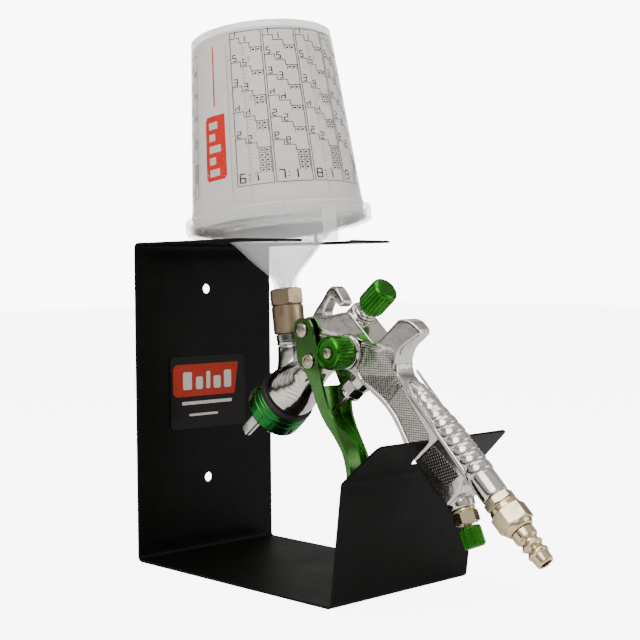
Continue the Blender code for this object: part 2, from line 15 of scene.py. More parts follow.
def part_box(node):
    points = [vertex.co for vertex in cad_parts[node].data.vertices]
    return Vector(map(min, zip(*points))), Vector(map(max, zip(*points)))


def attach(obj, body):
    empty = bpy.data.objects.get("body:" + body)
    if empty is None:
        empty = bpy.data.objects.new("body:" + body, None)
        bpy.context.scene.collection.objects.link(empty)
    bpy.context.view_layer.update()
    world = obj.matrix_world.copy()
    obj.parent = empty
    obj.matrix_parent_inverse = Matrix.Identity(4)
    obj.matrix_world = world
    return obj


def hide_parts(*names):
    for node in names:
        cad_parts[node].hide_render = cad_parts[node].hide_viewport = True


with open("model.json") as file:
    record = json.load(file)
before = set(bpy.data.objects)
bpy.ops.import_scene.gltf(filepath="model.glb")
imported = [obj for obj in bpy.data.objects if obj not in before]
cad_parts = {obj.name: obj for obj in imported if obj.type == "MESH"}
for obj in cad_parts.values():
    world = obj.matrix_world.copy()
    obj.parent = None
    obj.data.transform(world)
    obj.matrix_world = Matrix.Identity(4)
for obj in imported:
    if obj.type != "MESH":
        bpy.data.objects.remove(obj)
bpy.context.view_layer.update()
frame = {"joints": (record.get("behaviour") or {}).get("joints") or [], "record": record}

MM = 0.001
WAVE = 0.314  # a wave texture's scale for lines one unit apart
LOG = logging.getLogger("holder")
Pair = tuple[float, float]


# ------------------------------------------------------------------ places
class Side(Enum):
    """The two sides of the middle plane."""

    NEAR = -1
    FAR = 1


def joint(name: str) -> tuple[Vector, Vector]:
    """Finds a joint of the part.

    Args:
        name: The joint's name.

    Returns:
        Its place, which a slide doesn't have, and its unit axis in the part's frame.
    """
    found = next(j for j in frame["joints"] if j["name"] == name)
    return Vector(found.get("pos_m", (0.0, 0.0, 0.0))), Vector(found["axis"]).normalized()


def mount(name: str) -> tuple[Vector, Vector]:
    """Finds a mount of the part.

    Args:
        name: The mount's name.

    Returns:
        Its place and its unit axis in the part's frame.
    """
    found = next(m for m in frame["record"]["mounts"] if m["name"] == name)
    return Vector(found["pos_m"]), Vector(found["axis"]).normalized()


def stood_on(place: Vector, up: Vector) -> Matrix:
    """Makes a frame in the middle plane.

    Args:
        place: Its origin.
        up: The direction of its Z, square to world X.

    Returns:
        The frame, with its X along world X.
    """
    side = Vector((1.0, 0.0, 0.0))
    turn = Matrix((side, up.cross(side), up)).transposed().to_4x4()
    return Matrix.Translation(place) @ turn


def sideways(place: Vector) -> Matrix:
    """Makes a frame in the middle plane whose Z runs to the near side.

    Args:
        place: A point; only its Y and Z count.

    Returns:
        The frame.
    """
    middle = Vector((0.0, place.y, place.z))
    return Matrix.Translation(middle) @ Matrix.Rotation(math.radians(-90), 4, "Y")


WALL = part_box("stand_frame")[1].y
RING, GUN_UP = joint("ring_turn")
CUP_UP = joint("cup_pull")[1]
PLUG, GRIP_UP = mount("hose_plug")
REG, REG_UP = joint("regulator_knob_turn")
PIVOT = joint("trigger_pull")[0]
KNOB = joint("pattern_knob_turn")[0]
SCREEN = sum(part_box("lid_filter"), Vector()) / 2
RIVET = sum(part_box("puller_rivet_near"), Vector()) / 2

GUN_UP = GUN_UP if GUN_UP.z > 0 else -GUN_UP
GUN_AXIS = stood_on(RING + GUN_UP * 12.0 * MM, GUN_UP)
VALVE_AXIS = GUN_AXIS @ Matrix.Translation((0.0, -31.0 * MM, 0.0))
CUP_AXIS = stood_on(SCREEN - CUP_UP * 36.8 * MM, CUP_UP)
GRIP_AXIS = stood_on(PLUG - GRIP_UP * 46.3 * MM, GRIP_UP)
REG_UP = REG_UP if REG_UP.z < 0 else -REG_UP
REG_AXIS = stood_on(REG - REG_UP * 15.0 * MM, REG_UP)
SIDE_AXIS, PIVOT_AXIS, RIVET_AXIS = sideways(KNOB), sideways(PIVOT), sideways(RIVET)


def point(f: float, z: float, x: float = 0.0) -> Vector:
    """Places a point.

    Args:
        f: Millimetres forward of the wall.
        z: Millimetres over the underside of the shelf.
        x: Millimetres off the middle plane.

    Returns:
        The point in the part's frame.
    """
    return Vector((x * MM, WALL - f * MM, z * MM))


# ------------------------------------------------------------------ finishes
def linear(code: str) -> tuple[float, float, float, float]:
    """Turns an sRGB hex colour to linear light.

    Args:
        code: Six hex digits.

    Returns:
        Linear red, green, blue and a full alpha.
    """
    parts = [int(code[i : i + 2], 16) / 255.0 for i in (0, 2, 4)]
    return (*(c / 12.92 if c <= 0.04045 else ((c + 0.055) / 1.055) ** 2.4 for c in parts), 1.0)


def add(tree: bpy.types.NodeTree, kind: str, links: Optional[dict] = None, **settings: object) -> bpy.types.Node:
    """Adds a node with its settings and links.

    Args:
        tree: The material's node tree.
        kind: The node's type, without the ShaderNode prefix.
        links: What each input takes, by name or number: a value, or a socket to link.
        settings: Properties of the node itself.

    Returns:
        The new node.
    """
    made = tree.nodes.new("ShaderNode" + kind)
    for key, value in settings.items():
        setattr(made, key, value)
    for key, value in (links or {}).items():
        if isinstance(value, bpy.types.NodeSocket):
            tree.links.new(value, made.inputs[key])
        else:
            made.inputs[key].default_value = value
    return made


@dataclass(frozen=True)
class Finish:
    """What every finish has: a name, a base colour, and how rough and how metallic it is."""

    name: str
    base: str
    slot: str
    rough: float = 0.4
    metal: float = 0.0

    def material(self) -> bpy.types.Material:
        """Makes the material once and gives it back after that.

        Returns:
            The material.
        """
        made = bpy.data.materials.get(self.name)
        if made is None:
            made = bpy.data.materials.new(self.name)
            made.use_nodes = True
            tree = made.node_tree
            shader = tree.nodes["Principled BSDF"]
            shader.inputs["Base Color"].default_value = linear(self.base)
            shader.inputs["Roughness"].default_value = self.rough
            shader.inputs["Metallic"].default_value = self.metal
            self.dress(tree, shader)
        return made

    def dress(self, tree: bpy.types.NodeTree, shader: bpy.types.Node) -> None:
        """Adds the finish's own detail to the shader.

        Args:
            tree: The material's node tree.
            shader: The Principled shader.
        """
        raise NotImplementedError

    @staticmethod
    def place(tree: bpy.types.NodeTree) -> bpy.types.NodeSocket:
        """Gives the socket with a point's place in its piece."""
        return add(tree, "TexCoord").outputs["Object"]

    def tint(self, tree: bpy.types.NodeTree, shader: bpy.types.Node, pattern: bpy.types.NodeSocket, other: str,
             band: Pair, share: Pair) -> None:
        """Mixes another colour into the base by a pattern.

        Args:
            tree: The material's node tree.
            shader: The Principled shader.
            pattern: The pattern's value.
            other: The other colour, six hex digits.
            band: The values of the pattern between which the mix changes.
            share: How much of the other colour shows at each end of the band.
        """
        socket = shader.inputs["Base Color"]
        under = socket.links[0].from_socket if socket.links else linear(self.base)
        mask = add(tree, "MapRange", {0: pattern, 1: band[0], 2: band[1], 3: share[0], 4: share[1]}).outputs[0]
        mix = add(tree, "Mix", {0: mask, 6: under, 7: linear(other)}, data_type="RGBA")
        tree.links.new(mix.outputs[2], socket)

    def roughen(self, tree: bpy.types.NodeTree, shader: bpy.types.Node, pattern: bpy.types.NodeSocket,
                band: Pair,
                rough: Pair) -> None:
        """Varies the roughness by a pattern.

        Args:
            tree: The material's node tree.
            shader: The Principled shader.
            pattern: The pattern's value.
            band: The values of the pattern between which the roughness changes.
            rough: The roughness at each end of the band.
        """
        value = add(tree, "MapRange", {0: pattern, 1: band[0], 2: band[1], 3: rough[0], 4: rough[1]})
        tree.links.new(value.outputs[0], shader.inputs["Roughness"])

    def bump(self, tree: bpy.types.NodeTree, shader: bpy.types.Node, height: bpy.types.NodeSocket,
             depth: float) -> None:
        """Adds relief, on top of what is there.

        Args:
            tree: The material's node tree.
            shader: The Principled shader.
            height: The relief, from 0 to 1.
            depth: How deep it is, in millimetres.
        """
        socket = shader.inputs["Normal"]
        links = {"Height": height, "Distance": depth * MM, "Strength": 1.0}
        if socket.links:
            links["Normal"] = socket.links[0].from_socket
        tree.links.new(add(tree, "Bump", links).outputs[0], socket)


@dataclass(frozen=True)
class PowderCoat(Finish):
    """Fine-texture black polyester powder baked on steel sheet.

    The grains melt into a satin skin with a soft orange peel, so lights blur to a grey bloom and never mirror.
    """

    grain_mm: float = 1.1  # the real peel is about half of this, too fine to show

    def dress(self, tree: bpy.types.NodeTree, shader: bpy.types.Node) -> None:
        """Adds the peel, a few pale grains and faint rubbed patches.

        Args:
            tree: The material's node tree.
            shader: The Principled shader.
        """
        place = self.place(tree)
        peel = add(tree, "TexNoise", {"Vector": place, "Scale": 1 / (self.grain_mm * MM), "Detail": 3.0})
        specks = add(tree, "TexNoise", {"Vector": place, "Scale": 1 / (0.7 * MM), "Detail": 1.0})
        rubbed = add(tree, "TexNoise",
                     {"Vector": place, "Scale": 1 / (45 * MM), "Detail": 5.0, "Roughness": 0.62})
        self.tint(tree, shader, specks.outputs[0], "262622", (0.62, 0.8), (0.0, 0.2))
        self.tint(tree, shader, rubbed.outputs[0], "151411", (0.5, 0.75), (0.0, 0.22))
        self.roughen(tree, shader, rubbed.outputs[0], (0.3, 0.75), (self.rough + 0.06, self.rough - 0.07))
        self.bump(tree, shader, peel.outputs[0], 0.10)
        shader.inputs["Specular IOR Level"].default_value = 0.1


@dataclass(frozen=True)
class PrintedVinyl(Finish):
    """Cut vinyl film with screen-printed solid areas, under a thin clear film.

    It reads as one flat gloss with faint ripples from being smoothed on by hand.
    """

    def dress(self, tree: bpy.types.NodeTree, shader: bpy.types.Node) -> None:
        """Adds ripples in the film and the ink's own slight mottle.

        Args:
            tree: The material's node tree.
            shader: The Principled shader.
        """
        place = self.place(tree)
        ripple = add(tree, "TexNoise", {"Vector": place, "Scale": 1 / (14 * MM), "Detail": 2.0})
        mottle = add(tree, "TexNoise", {"Vector": place, "Scale": 1 / (1.4 * MM), "Detail": 4.0})
        self.tint(tree, shader, mottle.outputs[0], "5A423C", (0.35, 0.8), (0.0, 0.10))
        self.roughen(tree, shader, mottle.outputs[0], (0.3, 0.7), (self.rough, self.rough + 0.08))
        self.bump(tree, shader, ripple.outputs[0], 0.12)
        shader.inputs["Specular IOR Level"].default_value = 0.15


@dataclass(frozen=True)
class MouldedPolypropylene(Finish):
    """Natural polypropylene, injection moulded thin.

    Light soaks in, so it glows milky instead of shining, with flow marks, a waxy sheen and thin places that let
    what is behind show through.
    """

    cover: float = 1.0  # how much one of its two faces hides of what is behind
    shade: str = "CFC9C2"

    def dress(self, tree: bpy.types.NodeTree, shader: bpy.types.Node) -> None:
        """Adds flow marks, a waxy skin and the light that soaks in.

        Args:
            tree: The material's node tree.
            shader: The Principled shader.
        """
        place = self.place(tree)
        flow = add(tree, "Mapping", {"Vector": place, "Scale": (1.0, 1.0, 0.16)})
        marks = add(tree, "TexNoise", {"Vector": flow.outputs[0], "Scale": 1 / (5 * MM), "Detail": 4.0})
        cloud = add(tree, "TexNoise", {"Vector": place, "Scale": 1 / (26 * MM), "Detail": 3.0})
        self.tint(tree, shader, cloud.outputs[0], self.shade, (0.4, 0.75), (0.0, 0.5))
        self.roughen(tree, shader, marks.outputs[0], (0.3, 0.7), (self.rough - 0.05, self.rough + 0.08))
        self.bump(tree, shader, marks.outputs[0], 0.10)
        if self.cover < 1.0:
            span = {0: cloud.outputs[0], 1: 0.3, 2: 0.7, 3: self.cover - 0.05, 4: self.cover + 0.05}
            tree.links.new(add(tree, "MapRange", span).outputs[0], shader.inputs["Alpha"])
        shader.inputs["Subsurface Weight"].default_value = 0.35
        shader.inputs["Subsurface Radius"].default_value = (1.0, 0.9, 0.8)
        shader.inputs["Subsurface Scale"].default_value = 3 * MM
        shader.inputs["IOR"].default_value = 1.49


@dataclass(frozen=True)
class ScreenInk(Finish):
    """Screen-printed ink on the cup's wall, slightly broken where the mesh let too little through."""

    def dress(self, tree: bpy.types.NodeTree, shader: bpy.types.Node) -> None:
        """Adds pale breaks in the ink.

        Args:
            tree: The material's node tree.
            shader: The Principled shader.
        """
        place = self.place(tree)
        breaks = add(tree, "TexNoise", {"Vector": place, "Scale": 1 / (1.2 * MM), "Detail": 3.0})
        self.tint(tree, shader, breaks.outputs[0], "D9D2CB", (0.62, 0.8), (0.0, 0.4))
        self.roughen(tree, shader, breaks.outputs[0], (0.3, 0.7), (self.rough, self.rough + 0.15))


@dataclass(frozen=True)
class WovenFilter(Finish):
    """A fine dyed nylon mesh welded to a teal polypropylene ring: a square weave with open holes."""

    thread_mm: float = 1.0  # drawn three times as coarse as the real mesh, so that it shows

    def dress(self, tree: bpy.types.NodeTree, shader: bpy.types.Node) -> None:
        """Adds two crossed sets of threads.

        Args:
            tree: The material's node tree.
            shader: The Principled shader.
        """
        place = self.place(tree)
        heights = []
        for way in ("X", "Y"):
            wave = {"Vector": place, "Scale": WAVE / (self.thread_mm * MM)}
            heights.append(add(tree, "TexWave", wave, bands_direction=way).outputs[1])
        weave = add(tree, "Math", {0: heights[0], 1: heights[1]}, operation="MAXIMUM").outputs[0]
        self.tint(tree, shader, weave, "CFE0DC", (0.3, 0.8), (0.35, 0.0))
        self.bump(tree, shader, weave, 0.15)


@dataclass(frozen=True)
class TurnedMetal(Finish):
    """Metal turned on a lathe, then plated or anodised.

    Rings from the tool run around the piece, so a highlight breaks into fine bands along its axis.
    """

    ring_mm: float = 0.9
    ring_depth: float = 0.012
    other: str = "8A8478"

    def dress(self, tree: bpy.types.NodeTree, shader: bpy.types.Node) -> None:
        """Adds tool rings, handling smears and small dings.

        Args:
            tree: The material's node tree.
            shader: The Principled shader.
        """
        place = self.place(tree)
        along = add(tree, "Mapping", {"Vector": place, "Scale": (0.04, 0.04, 1.0)})
        rings = add(tree, "TexNoise",
                    {"Vector": along.outputs[0], "Scale": 1 / (self.ring_mm * MM), "Detail": 4.0})
        smear = add(tree, "TexNoise", {"Vector": place, "Scale": 1 / (7 * MM), "Detail": 4.0})
        dings = add(tree, "TexVoronoi", {"Vector": place, "Scale": 1 / (3.2 * MM)})
        self.tint(tree, shader, smear.outputs[0], self.other, (0.45, 0.75), (0.0, 0.35))
        self.roughen(tree, shader, smear.outputs[0], (0.3, 0.75), (self.rough, self.rough + 0.16))
        self.bump(tree, shader, rings.outputs[0], self.ring_depth)
        pits = add(tree, "MapRange", {0: dings.outputs[0], 1: 0.05, 2: 0.16})
        self.bump(tree, shader, pits.outputs[0], 0.01)


@dataclass(frozen=True)
class ChromedCasting(Finish):
    """Chrome over nickel on a polished die casting.

    A bright mirror that bends over the casting's soft waves, with buffing lines, and cooler and darker where the
    buff could not reach.
    """

    other: str = "8E8A86"

    def dress(self, tree: bpy.types.NodeTree, shader: bpy.types.Node) -> None:
        """Adds the casting's waves and the buffing haze.

        Args:
            tree: The material's node tree.
            shader: The Principled shader.
        """
        place = self.place(tree)
        waves = add(tree, "TexNoise", {"Vector": place, "Scale": 1 / (11 * MM), "Detail": 2.0})
        buff = add(tree, "TexNoise", {"Vector": place, "Scale": 1 / (1.3 * MM), "Detail": 5.0})
        self.tint(tree, shader, waves.outputs[0], self.other, (0.45, 0.8), (0.0, 0.4))
        self.roughen(tree, shader, buff.outputs[0], (0.3, 0.7), (self.rough, self.rough + 0.10))
        self.bump(tree, shader, waves.outputs[0], 0.18)
        self.detail(tree, shader, place)

    def detail(self, tree: bpy.types.NodeTree, shader: bpy.types.Node, place: bpy.types.NodeSocket) -> None:
        """Adds nothing here; the finishes made from this one add their own relief."""


@dataclass(frozen=True)
class HatchedCasting(ChromedCasting):
    """The same chrome on the sunk flat of the handle, where the die left a net of fine crossed lines.

    The lines fill with shadow, so the flat reads as bright little squares in a dark net.
    """

    hatch_mm: float = 1.35  # the real net is a little finer, too fine to show

    def detail(self, tree: bpy.types.NodeTree, shader: bpy.types.Node, place: bpy.types.NodeSocket) -> None:
        """Adds the net of lines.

        Args:
            tree: The material's node tree.
            shader: The Principled shader.
            place: A point's place in its piece.
        """
        lines = []
        for way in ("Y", "Z"):
            wave = add(tree, "TexWave", {"Vector": place, "Scale": WAVE / (self.hatch_mm * MM)},
                       bands_direction=way)
            lines.append(add(tree, "MapRange", {0: wave.outputs[1], 1: 0.34, 2: 0.06}).outputs[0])
        net = add(tree, "Math", {0: lines[0], 1: lines[1]}, operation="MAXIMUM").outputs[0]
        self.bump(tree, shader, add(tree, "MapRange", {0: net, 1: 1.0, 2: 0.0}).outputs[0], 0.16)
        self.tint(tree, shader, net, "4A4540", (0.0, 1.0), (0.0, 0.72))


@dataclass(frozen=True)
class SteppedCasting(ChromedCasting):
    """The same chrome on the side of the head, where the ball cutter left low crescent steps.

    Each step is a thin curve of painted shade in an otherwise bright face.
    """

    step_mm: float = 2.7
    middle: Pair = (105.4, 124.4)  # the crescents' centre

    def detail(self, tree: bpy.types.NodeTree, shader: bpy.types.Node, place: bpy.types.NodeSocket) -> None:
        """Adds the crescents.

        Args:
            tree: The material's node tree.
            shader: The Principled shader.
            place: A point's place in its piece.
        """
        centre = point(*self.middle)
        shifted = add(tree, "VectorMath", {0: place, 1: (0.0, centre.y, centre.z)}, operation="SUBTRACT")
        flat = add(tree, "VectorMath", {0: shifted.outputs[0], 1: (0.0, 1.0, 0.8)}, operation="MULTIPLY")
        wobble = add(tree, "TexNoise", {"Vector": place, "Scale": 1 / (14 * MM), "Detail": 1.0})
        reach = add(tree, "VectorMath", {0: flat.outputs[0]}, operation="LENGTH")
        drift = add(tree, "Math", {0: wobble.outputs[0], 1: 6 * MM}, operation="MULTIPLY")
        total = add(tree, "Math", {0: reach.outputs[1], 1: drift.outputs[0]}, operation="ADD")
        count = add(tree, "Math", {0: total.outputs[0], 1: self.step_mm * MM}, operation="DIVIDE")
        part = add(tree, "Math", {0: count.outputs[0]}, operation="FRACT").outputs[0]
        rise = add(tree, "MapRange", {0: part, 1: 0.72, 2: 0.86})
        fall = add(tree, "MapRange", {0: part, 1: 1.0, 2: 0.94})
        curve = add(tree, "Math", {0: rise.outputs[0], 1: fall.outputs[0]}, operation="MULTIPLY")
        broken = add(tree, "TexNoise", {"Vector": place, "Scale": 1 / (7 * MM), "Detail": 2.0})
        seen = add(tree, "MapRange", {0: broken.outputs[0], 1: 0.38, 2: 0.52})
        line = add(tree, "Math", {0: curve.outputs[0], 1: seen.outputs[0]}, operation="MULTIPLY").outputs[0]
        self.bump(tree, shader, part, 0.10)
        # painted shade: the tint darkens each step's edge to a thin curve
        self.tint(tree, shader, line, "57504A", (0.0, 1.0), (0.0, 0.7))


@dataclass(frozen=True)
class KnurledCasting(ChromedCasting):
    """Chrome a little darker than the rest, with diamond knurling: small shiny pyramids between grooves whose
    bottoms carry painted shade.
    """

    pitch_mm: float = 1.7
    slant: float = 0.35  # how far the diamonds lean, in radians

    def detail(self, tree: bpy.types.NodeTree, shader: bpy.types.Node, place: bpy.types.NodeSocket) -> None:
        """Adds two sets of crossed grooves, with painted shade darkening their bottoms.

        Args:
            tree: The material's node tree.
            shader: The Principled shader.
            place: A point's place in its piece.
        """
        lines = []
        for turn in (self.slant, self.slant + math.pi / 2):
            turned = add(tree, "Mapping", {"Vector": place, "Rotation": (turn, 0.0, 0.0)})
            wave = {"Vector": turned.outputs[0], "Scale": WAVE / (self.pitch_mm * MM)}
            lines.append(add(tree, "TexWave", wave, bands_direction="Y").outputs[1])
        grooves = add(tree, "Math", {0: lines[0], 1: lines[1]}, operation="MINIMUM").outputs[0]
        self.bump(tree, shader, grooves, 0.4)
        # painted shade: the tint darkens the grooves' bottoms almost to black
        self.tint(tree, shader, grooves, "1D1B19", (0.15, 0.5), (0.85, 0.0))


@dataclass(frozen=True)
class AnodisedPressing(Finish):
    """Aluminium pressed from sheet, brushed, and anodised green.

    A clear coloured skin over bright metal: deep and glossy, with brushing lines running down the length.
    """

    other: str = "1B4210"

    def dress(self, tree: bpy.types.NodeTree, shader: bpy.types.Node) -> None:
        """Adds brushing, a slow change of depth and a clear skin.

        Args:
            tree: The material's node tree.
            shader: The Principled shader.
        """
        place = self.place(tree)
        brushed = add(tree, "Mapping", {"Vector": place, "Scale": (1.0, 1.0, 0.05)})
        lines = add(tree, "TexNoise", {"Vector": brushed.outputs[0], "Scale": 1 / (0.8 * MM), "Detail": 4.0})
        depth = add(tree, "TexNoise", {"Vector": place, "Scale": 1 / (22 * MM), "Detail": 3.0})
        self.tint(tree, shader, depth.outputs[0], self.other, (0.4, 0.75), (0.0, 0.45))
        self.roughen(tree, shader, lines.outputs[0], (0.3, 0.7), (self.rough - 0.05, self.rough + 0.08))
        self.bump(tree, shader, lines.outputs[0], 0.02)
        shader.inputs["Coat Weight"].default_value = 0.5
        shader.inputs["Coat Roughness"].default_value = 0.08


@dataclass(frozen=True)
class MouldedRubber(Finish):
    """Black nitrile rubber, moulded: dull, slightly dusty, with a faint bloom."""

    def dress(self, tree: bpy.types.NodeTree, shader: bpy.types.Node) -> None:
        """Adds dust and a fine skin.

        Args:
            tree: The material's node tree.
            shader: The Principled shader.
        """
        place = self.place(tree)
        dust = add(tree, "TexNoise", {"Vector": place, "Scale": 1 / (1.6 * MM), "Detail": 5.0})
        self.tint(tree, shader, dust.outputs[0], "3A3836", (0.5, 0.8), (0.0, 0.3))
        self.roughen(tree, shader, dust.outputs[0], (0.3, 0.7), (self.rough, self.rough + 0.2))
        self.bump(tree, shader, dust.outputs[0], 0.05)


@dataclass(frozen=True)
class StudioPaper(Finish):
    """Matt white seamless paper with a faint tooth, lit from behind like a light table."""

    glow: float = 7.0  # how bright the camera sees it; it lights nothing

    def dress(self, tree: bpy.types.NodeTree, shader: bpy.types.Node) -> None:
        """Adds the tooth.

        Args:
            tree: The material's node tree.
            shader: The Principled shader.
        """
        tooth = add(tree, "TexNoise", {"Vector": self.place(tree), "Scale": 1 / (4 * MM), "Detail": 3.0})
        self.tint(tree, shader, tooth.outputs[0], "F0EEEC", (0.3, 0.8), (0.0, 0.1))
        self.bump(tree, shader, tooth.outputs[0], 0.02)
        shader.inputs["Emission Color"].default_value = linear(self.base)
        seen = add(tree, "LightPath").outputs["Is Camera Ray"]
        glow = add(tree, "Math", {0: seen, 1: self.glow}, operation="MULTIPLY")
        tree.links.new(glow.outputs[0], shader.inputs["Emission Strength"])


POWDER = PowderCoat("black_powder_coat", "070705", "black_powder", rough=0.46)
LABEL_BLACK = PrintedVinyl("vinyl_black", "050504", "label_vinyl", rough=0.2)
LABEL_RED = PrintedVinyl("vinyl_red", "A82814", "label_vinyl", rough=0.22)
LABEL_WHITE = PrintedVinyl("vinyl_white", "C9C4C0", "label_vinyl", rough=0.25)
CUP_SKIN = MouldedPolypropylene("cup_polypropylene", "EDE7E1", "cup_plastic", rough=0.34, cover=0.7,
                                shade="DDD5CE")
LID_SKIN = MouldedPolypropylene("lid_polypropylene", "F0EEEC", "lid_plastic", rough=0.3, cover=0.42,
                                shade="DAD9D8")
INK_DARK = ScreenInk("ink_grey", "1C1917", "cup_plastic", rough=0.35)
INK_PALE = ScreenInk("ink_ghost", "A39B95", "cup_plastic", rough=0.35)
INK_RED = ScreenInk("ink_red", "D2200F", "cup_plastic", rough=0.3)
TEAL_MESH = WovenFilter("teal_filter", "2C746A", "filter_mesh", rough=0.5)
DULL_NICKEL = TurnedMetal("dull_nickel_turned", "A8957A", "dull_nickel", rough=0.3, metal=1.0, other="6E5F49")
BRIGHT_NICKEL = TurnedMetal("bright_nickel_turned", "DECBA4", "pale_brass", rough=0.14, metal=1.0,
                            other="AC9870")
STEEL = TurnedMetal("zinc_plated_steel", "C4BAAC", "steel", rough=0.2, metal=1.0, other="8A7C68")
CHROME_TURNED = TurnedMetal("chrome_turned", "D6D3CF", "chrome_plate", rough=0.07, metal=1.0, other="A9A6A3")
CHROME = ChromedCasting("chrome_casting", "D8D3CD", "chrome_plate", rough=0.08, metal=1.0)
HATCHED = HatchedCasting("chrome_casting_hatched", "D8D2CA", "chrome_plate", rough=0.14, metal=1.0)
STEPPED = SteppedCasting("chrome_casting_stepped", "DDD6CC", "chrome_plate", rough=0.12, metal=1.0)
KNURLED = KnurledCasting("chrome_knurled", "A8A29A", "chrome_plate", rough=0.2, metal=1.0)
GREEN_KNOB = TurnedMetal("green_anodised_turned", "347A24", "green_anodised", rough=0.2, metal=1.0,
                         ring_mm=1.2, other="174A10")
GREEN_RING = TurnedMetal("green_anodised_ring", "2E7A36", "green_anodised", rough=0.22, metal=1.0,
                         ring_mm=1.0, other="154B20")
GREEN_PRESSED = AnodisedPressing("green_anodised_pressed", "3B7424", "green_anodised", rough=0.26, metal=1.0)
RUBBER = MouldedRubber("black_nitrile", "161514", "black_rubber", rough=0.5)
PAPER = StudioPaper("white_paper", "FAFAFA", "", rough=0.9)


# ------------------------------------------------------------------ shapes
def settle(obj: bpy.types.Object) -> bpy.types.Object:
    """Turns an object's modifiers to plain mesh.

    Args:
        obj: The object.

    Returns:
        The same object.
    """
    graph = bpy.context.evaluated_depsgraph_get()
    mesh = bpy.data.meshes.new_from_object(obj.evaluated_get(graph))
    obj.modifiers.clear()
    old, obj.data = obj.data, mesh
    bpy.data.meshes.remove(old)
    return obj


class Shape:
    """A solid under construction, in its own frame, with Z up its axis. Sizes are in millimetres."""

    def __init__(self, name: str, bm: bmesh.types.BMesh, place: Matrix = Matrix()) -> None:
        """Makes the object from a bmesh.

        Args:
            name: The piece's name.
            bm: The mesh, in metres, in the frame of place.
            place: Where the frame stands.
        """
        bmesh.ops.recalc_face_normals(bm, faces=bm.faces)
        mesh = bpy.data.meshes.new(name)
        bm.to_mesh(mesh)
        bm.free()
        self.obj = bpy.data.objects.new(name, mesh)
        self.obj.matrix_world = place
        bpy.context.scene.collection.objects.link(self.obj)

    @classmethod
    def turned(cls, name: str, profile: Sequence[Pair], place: Matrix, steps: int = 72,
               bored: bool = False) -> "Shape":
        """Turns a profile about the frame's Z.

        Args:
            name: The piece's name.
            profile: (height, radius) pairs.
            place: Where the frame stands.
            steps: How many steps around.
            bored: Whether the profile closes on itself around a hole.

        Returns:
            The shape.
        """
        if not bored:
            profile = [(profile[0][0], 0.0), *profile, (profile[-1][0], 0.0)]
        bm = bmesh.new()
        verts = [bm.verts.new((radius * MM, 0.0, height * MM)) for height, radius in profile]
        loop = list(zip(verts, verts[1:] + (verts[:1] if bored else [])))
        edges = [bm.edges.new(pair) for pair in loop if pair[0] is not pair[1]]
        bmesh.ops.spin(bm, geom=verts + edges, cent=(0, 0, 0), axis=(0, 0, 1), dvec=(0, 0, 0),
                       angle=2 * math.pi, steps=steps, use_merge=True)
        bmesh.ops.remove_doubles(bm, verts=bm.verts, dist=0.00001)
        return cls(name, bm, place)

    @classmethod
    def drawn(cls, name: str, outline: Iterable[Vector], reach: Vector) -> "Shape":
        """Pulls a flat outline out.

        Args:
            name: The piece's name.
            outline: World points.
            reach: How far it is pulled, as a vector in metres.

        Returns:
            The shape.
        """
        bm = bmesh.new()
        face = bm.faces.new([bm.verts.new(corner) for corner in outline])
        pulled = bmesh.ops.extrude_face_region(bm, geom=[face])["geom"]
        bmesh.ops.translate(bm, vec=reach, verts=[v for v in pulled if isinstance(v, bmesh.types.BMVert)])
        return cls(name, bm)

    @classmethod
    def from_side(cls, name: str, outline: Iterable[Pair], low: float, high: float) -> "Shape":
        """Pulls an outline of (f, z) from one distance off the middle plane to another.

        Args:
            name: The piece's name.
            outline: Points of the middle plane.
            low: The first distance.
            high: The second distance.

        Returns:
            The shape.
        """
        return cls.drawn(name, [point(f, z, low) for f, z in outline], Vector(((high - low) * MM, 0, 0)))

    @classmethod
    def block(cls, name: str, size: Sequence[float], middle: Sequence[float],
              place: Matrix = Matrix()) -> "Shape":
        """Makes a box.

        Args:
            name: The piece's name.
            size: Its three sides.
            middle: Its middle in the frame.
            place: Where the frame stands.

        Returns:
            The shape.
        """
        bm = bmesh.new()
        scale = Matrix.Diagonal((*(Vector(size) * MM), 1))
        bmesh.ops.create_cube(bm, size=1.0, matrix=Matrix.Translation(Vector(middle) * MM) @ scale)
        return cls(name, bm, place)

    @classmethod
    def bar(cls, name: str, low: float, high: float, radius: float, place: Matrix, sides: int = 48,
            turn: float = 10.0, off: Pair = (0.0, 0.0)) -> "Shape":
        """Makes a round or many-sided bar along the frame's Z.

        Args:
            name: The piece's name.
            low: Where it starts.
            high: Where it ends.
            radius: Its radius, to its corners.
            place: Where the frame stands.
            sides: How many sides it has.
            turn: How far it is turned, in degrees.
            off: How far it stands off the axis.

        Returns:
            The shape.
        """
        bm = bmesh.new()
        middle = Matrix.Translation((off[0] * MM, off[1] * MM, (low + high) / 2 * MM))
        bmesh.ops.create_cone(bm, cap_ends=True, segments=sides, radius1=radius * MM, radius2=radius * MM,
                              depth=(high - low) * MM, matrix=middle @ Matrix.Rotation(math.radians(turn), 4,
                                                                                       "Z"))
        return cls(name, bm, place)

    def mix(self, other: "Shape", operation: str) -> "Shape":
        """Combines with another shape, which is used up.

        Args:
            other: The other shape.
            operation: UNION, DIFFERENCE or INTERSECT.

        Returns:
            This shape.
        """
        step = self.obj.modifiers.new("mix", "BOOLEAN")
        step.operation, step.solver, step.object = operation, "EXACT", other.obj
        bpy.context.view_layer.update()
        settle(self.obj)
        bpy.data.objects.remove(other.obj)
        return self

    def join(self, other: "Shape") -> "Shape":
        """Adds another shape to this one."""
        return self.mix(other, "UNION")

    def cut(self, other: "Shape") -> "Shape":
        """Cuts another shape out of this one."""
        return self.mix(other, "DIFFERENCE")

    def keep(self, other: "Shape") -> "Shape":
        """Keeps only what lies inside another shape."""
        return self.mix(other, "INTERSECT")

